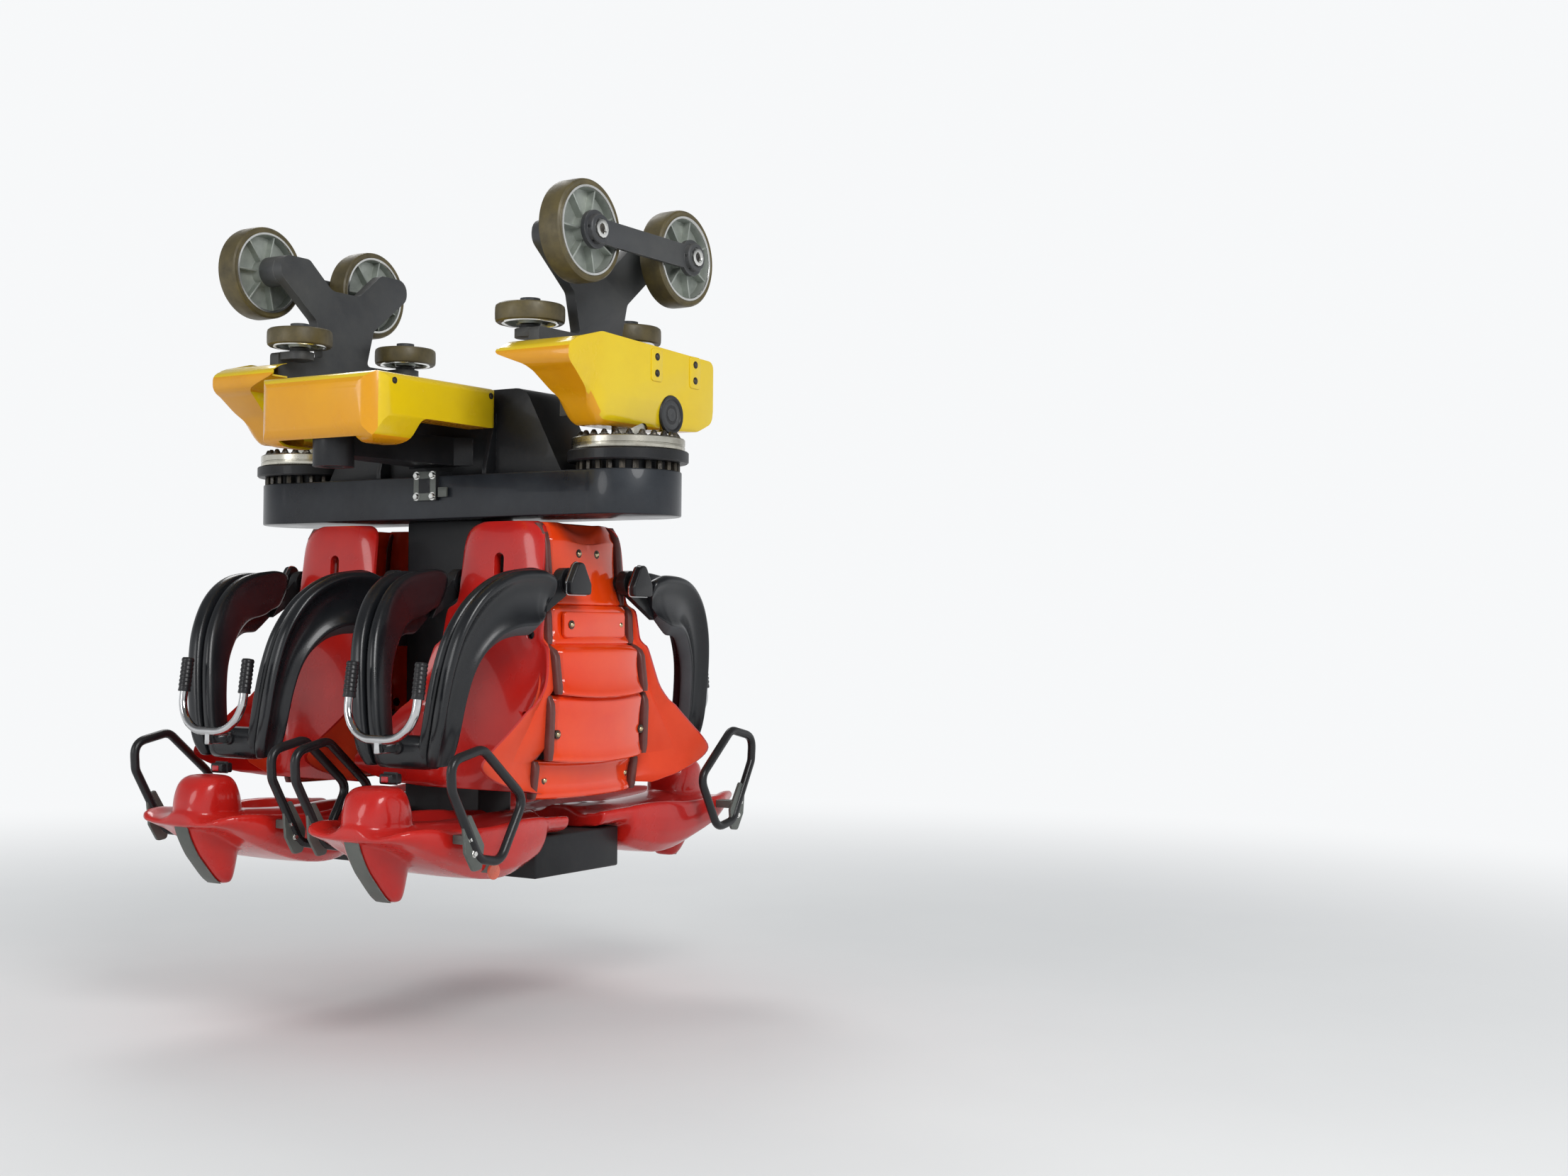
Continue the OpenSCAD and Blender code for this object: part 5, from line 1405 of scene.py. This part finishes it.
cushion_rows = rows[1:-2]
cushion_rings = []
for i, row in enumerate(cushion_rows):
    shoulder = max(0.0, 1 - i / (0.52 * len(cushion_rows)))
    lift = 0.10 + 0.40 * math.sin(shoulder * math.pi / 2) ** 2
    cushion_rings.append(section(row, cushion_profile(lift)))
cushion = paint(skin(cushion_rings), pad_black)
modify(cushion, "SUBSURF", levels=1, render_levels=1)
other_side = Matrix.Diagonal((1, -1, 1, 1))
LAP_X, LAP_Z = 0.575, -0.650
lap_rings = []
for y, swell in ((-0.100, 0.55), (-0.094, 0.85), (-0.080, 0.98), (-0.040, 1.0), (0, 1.0),
                 (0.040, 1.0), (0.080, 0.98), (0.094, 0.85), (0.100, 0.55)):
    lap_rings.append([(LAP_X + 0.040 * swell * power(math.cos(a), 0.65), y,
                       LAP_Z + 0.046 * swell * power(math.sin(a), 0.65))
                      for a in (math.tau * k / 32 for k in range(32))])
lap_pad = skin(lap_rings)
pads_start = joined("pads_start", [wing, cushion, twin(wing, other_side), twin(cushion, other_side),
                                   paint(lap_pad, pad_black)])
for seat, facing, y in SEATS:
    piece = settle(to_seat(pads_start, facing, y), f"harness_pad_{seat}_foam", f"harness_{seat}",
                   [f"harness_pad_{seat}"], 45)
print("harness pads:", len(pads_start.data.polygons), "faces each")
discard(pads_start)

# %% [markdown]
# The handle is a bright bent tube on a short stem, with a ribbed black grip on each upright end.
# Its path is drawn as a U with round corners, and the grip is turned from a ribbed profile.

# %% Handle and grips
FOOT_X, FOOT_Z, LEAN = 0.688, -0.612, math.radians(8)
HAND_OUT, BEND, STRAIGHT = 0.125, 0.096, 0.029


def handle_point(across, height):
    return (FOOT_X - height * math.sin(LEAN), across, FOOT_Z + height * math.cos(LEAN))


quarter = [math.pi / 2 * k / 12 for k in range(13)]
u_path = [(-HAND_OUT, 0.118), (-HAND_OUT, 0.100)]
u_path += [(-STRAIGHT - BEND * math.cos(a), BEND - BEND * math.sin(a)) for a in quarter]
u_path += [(STRAIGHT + BEND * math.sin(a), BEND - BEND * math.cos(a)) for a in quarter]
u_path += [(HAND_OUT, 0.100), (HAND_OUT, 0.118)]
handle = paint(tube([handle_point(a, h) for a, h in u_path], 0.012, 20), handle_chrome)
grip_profile = [(0.004, 0.0), (0.017, 0.0), (0.018, 0.003)]
for k in range(7):
    h = 0.012 + k * 0.012
    grip_profile += [(0.0165, h), (0.0165, h + 0.003), (0.018, h + 0.0045), (0.018, h + 0.009)]
grip_profile += [(0.0178, 0.094), (0.015, 0.0985), (0.004, 0.100)]
grips = []
for hand in (-1, 1):
    grip = turned(grip_profile, 28)
    place = Matrix.Translation(handle_point(hand * HAND_OUT, 0.111))
    grip.data.transform(place @ Matrix.Rotation(-LEAN, 4, "Y"))
    grips.append(paint(grip, loop_black))
stem = block((0.6155, -0.0085, -0.6495), (FOOT_X + 0.006, 0.0085, -0.6245), 0.003, 3)
post = block((FOOT_X - 0.009, -0.009, -0.650), (FOOT_X + 0.009, 0.009, -0.608), 0.003, 3)
boss = turned([(0.004, 0), (0.018, 0), (0.018, 0.006), (0.014, 0.009), (0.004, 0.009)], 24,
              (0.614, 0, -0.637), True)
handle_start = joined("handle_start", [handle, *grips, paint(stem, handle_chrome),
                                       paint(post, handle_chrome), paint(boss, loop_black)])
for seat, facing, y in SEATS:
    settle(to_seat(handle_start, facing, y), f"harness_handle_{seat}_bar", f"harness_{seat}",
           [f"harness_handle_{seat}"], 40)
discard(handle_start)
print("handles:", len(SEATS))

# %% [markdown]
# The arms that carry the pads swing on the hinge tube. They are copies of their nodes with rounded
# edges.

# %% Arms
for seat, facing, y in SEATS:
    name = f"harness_frame_{seat}"
    settle(paint(carved(name, 0.002, 32, 2), black_paint), name + "_arms", f"harness_{seat}",
           [name], 35)
print("arms:", len(SEATS))

# %% [markdown]
# A glossy black cover with a thin bright band caps each outer hinge, beside the top tier of the
# panel. The band is the same outline, a little larger and thinner.

# %% Hinge covers
wedge_outline = round_corners([(-0.048, -0.215, 0.012), (0.046, -0.215, 0.012), (0.046, -0.178, 0.020),
                               (0.012, -0.120, 0.020), (-0.014, -0.124, 0.018), (-0.048, -0.184, 0.02)])
wedge = paint(plate(wedge_outline, 0.030, 0.006, 4), loop_black)
GROWN, GROWN_FROM = 1.05, -0.17
band_outline = [(x * GROWN, (z - GROWN_FROM) * GROWN + GROWN_FROM) for x, z in wedge_outline]
band = paint(plate(band_outline, 0.005, 0.0015, 2), handle_chrome)
for part, y in ((wedge, 0.592), (band, 0.5745)):
    part.data.transform(Matrix.Translation((0.150, y, 0)) @ STAND_XZ)
cover_start = joined("hinge_cover_start", [wedge, band])
for seat, facing, y in SEATS:
    settle(to_seat(cover_start, facing, y, 0), f"hinge_cover_{seat}", "car_frame", (), 40)
discard(cover_start)
print("hinge covers:", len(SEATS))

# %% [markdown]
# ## Belts and hand loops
# A short woven belt with a buckle lies on the horn, below the lap pad. The belt is a thin skin, and
# the buckle is a moulded housing with a red push button.

# %% Belt and buckle
belt_rings = []
BELT_HALF, BELT_THICK = 0.024, 0.0025
for z, x in ((-0.7347, 0.640), (-0.728, 0.640), (-0.716, 0.641), (-0.706, 0.640), (-0.7015, 0.639)):
    belt_rings.append([(x - BELT_THICK, -BELT_HALF, z), (x - BELT_THICK, BELT_HALF, z),
                       (x + BELT_THICK, 0.0235, z), (x + BELT_THICK, -0.0235, z)])
belt = paint(skin(belt_rings), webbing)
housing = paint(block((0.618, -0.023, -0.7335), (0.662, 0.023, -0.7055), 0.006, 4), loop_black)
button = paint(block((0.656, -0.012, -0.728), (0.666, 0.012, -0.712), 0.003, 3), button_red)
belt_start = joined("belt_start", [belt, housing, button])
for seat, facing, y in SEATS:
    settle(to_seat(belt_start, facing, y), f"lap_strap_{seat}_belt", "car_frame",
           ["lap_straps"], 40)
discard(belt_start)
print("belts:", len(SEATS))

# %% [markdown]
# The hand loops are coated tube bent to a closed ring. Each is held by a grey plate with two
# bright bolts.

# %% Hand loops with their brackets
LOOP = round_corners([(0.594, -0.630, 0.046), (0.718, -0.656, 0.046), (0.712, -0.734, 0.046),
                      (0.606, -0.918, 0.046), (0.520, -0.934, 0.046), (0.424, -0.772, 0.046)], 8)
LOOP_Y = 0.284
loop = paint(tube([(x, LOOP_Y, z) for x, z in LOOP], 0.013, 16, closed=True), loop_black)
clamp = plate(round_corners([(0.588, -0.882, 0.008), (0.642, -0.798, 0.008), (0.672, -0.812, 0.008),
                             (0.662, -0.900, 0.012), (0.630, -0.950, 0.014), (0.596, -0.946, 0.014)]),
              0.010, 0.002, 2)
clamp.data.transform(Matrix.Translation((0, LOOP_Y + 0.005, 0)) @ STAND_XZ)
arm = block((0.600, 0.2223, -0.880), (0.640, LOOP_Y, -0.856), 0.003, 2)
clamp_parts = [paint(clamp, bracket_grey), paint(arm, bracket_grey)]
for x, z in ((0.628, -0.902), (0.642, -0.862)):
    head = paint(hex_bolt(0.008, 0.006), rim_bright)
    clamp_parts.append(facing_side(head, (x, LOOP_Y + 0.0055, z), 1))
outer_loop = joined("outer_loop", [loop, *clamp_parts])
inner_loop = twin(outer_loop, other_side)
for seat, facing, y in SEATS:
    pair = [to_seat(outer_loop, facing, y), to_seat(inner_loop, facing, y)]
    settle(joined("pair", pair), f"hand_loops_{seat}_pair", "car_frame",
           ["hand_loops_" + seat.split("_")[0]], 40)
discard(outer_loop, inner_loop)
print("hand loops:", 2 * len(SEATS))

# %% [markdown]
# ## Studio floor
# The car hangs from its rails, so the floor only catches its shadow. It is a plain pale plane,
# marked as stage. With distance it fades to the white of the wall, so that no horizon shows, and
# from below it is clear, so that the car can be looked at from there.

# %% Floor
only(None)
bpy.ops.mesh.primitive_plane_add(size=120, location=(0, 0, -2.05))
floor = bpy.context.object
floor.name = "studio_floor"
FADE_START, FADE_END = 2.0, 7.0
floor_finish = bpy.data.materials.new("studio_floor")
floor_finish.use_nodes = True
tree = floor_finish.node_tree
shader = tree.nodes["Principled BSDF"]
place = node(tree, "TexCoord").outputs["Object"]
tint = place_group(tree, clouds, place, Main=(0.80, 0.80, 0.79, 1),
                   Second=(0.76, 0.76, 0.755, 1), Scale=0.4)
tree.links.new(tint.outputs["Colour"], shader.inputs["Base Color"])
shader.inputs["Roughness"].default_value = 0.85
far = node(tree, "VectorMath", {0: place}, operation="LENGTH")
spread = node(tree, "MapRange", {"Value": far.outputs["Value"], "From Min": FADE_START,
                                 "From Max": FADE_END}, interpolation_type="SMOOTHSTEP")
rays = node(tree, "LightPath")
first = node(tree, "Math", {0: rays.outputs["Is Camera Ray"], 1: rays.outputs["Is Glossy Ray"]},
             operation="MAXIMUM")
seen = node(tree, "Math", {0: first.outputs[0], 1: rays.outputs["Is Transmission Ray"]},
            operation="MAXIMUM")
white = node(tree, "Emission", {"Color": WALL_WHITE})
faded = node(tree, "MixShader", {0: multiply(tree, spread.outputs["Result"], seen.outputs[0]),
                                 1: shader.outputs[0], 2: white.outputs[0]})
back = node(tree, "NewGeometry")
clear = node(tree, "BsdfTransparent")
one_way = node(tree, "MixShader", {0: back.outputs["Backfacing"], 1: faded.outputs[0],
                                   2: clear.outputs[0]})
tree.links.new(one_way.outputs[0], tree.nodes["Material Output"].inputs["Surface"])
floor.data.materials.append(floor_finish)
floor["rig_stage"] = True
print("floor at", floor.location.z)

# %% [markdown]
# ## Finish
# Every CAD node now has a dressed piece that stands for it.

# %% Sizes
dressed_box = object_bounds()
sizes = {"cad": [list(c) for c in cad_box], "visual": [list(c) for c in dressed_box]}
print("dressed box", [round(v, 3) for c in dressed_box for v in c])
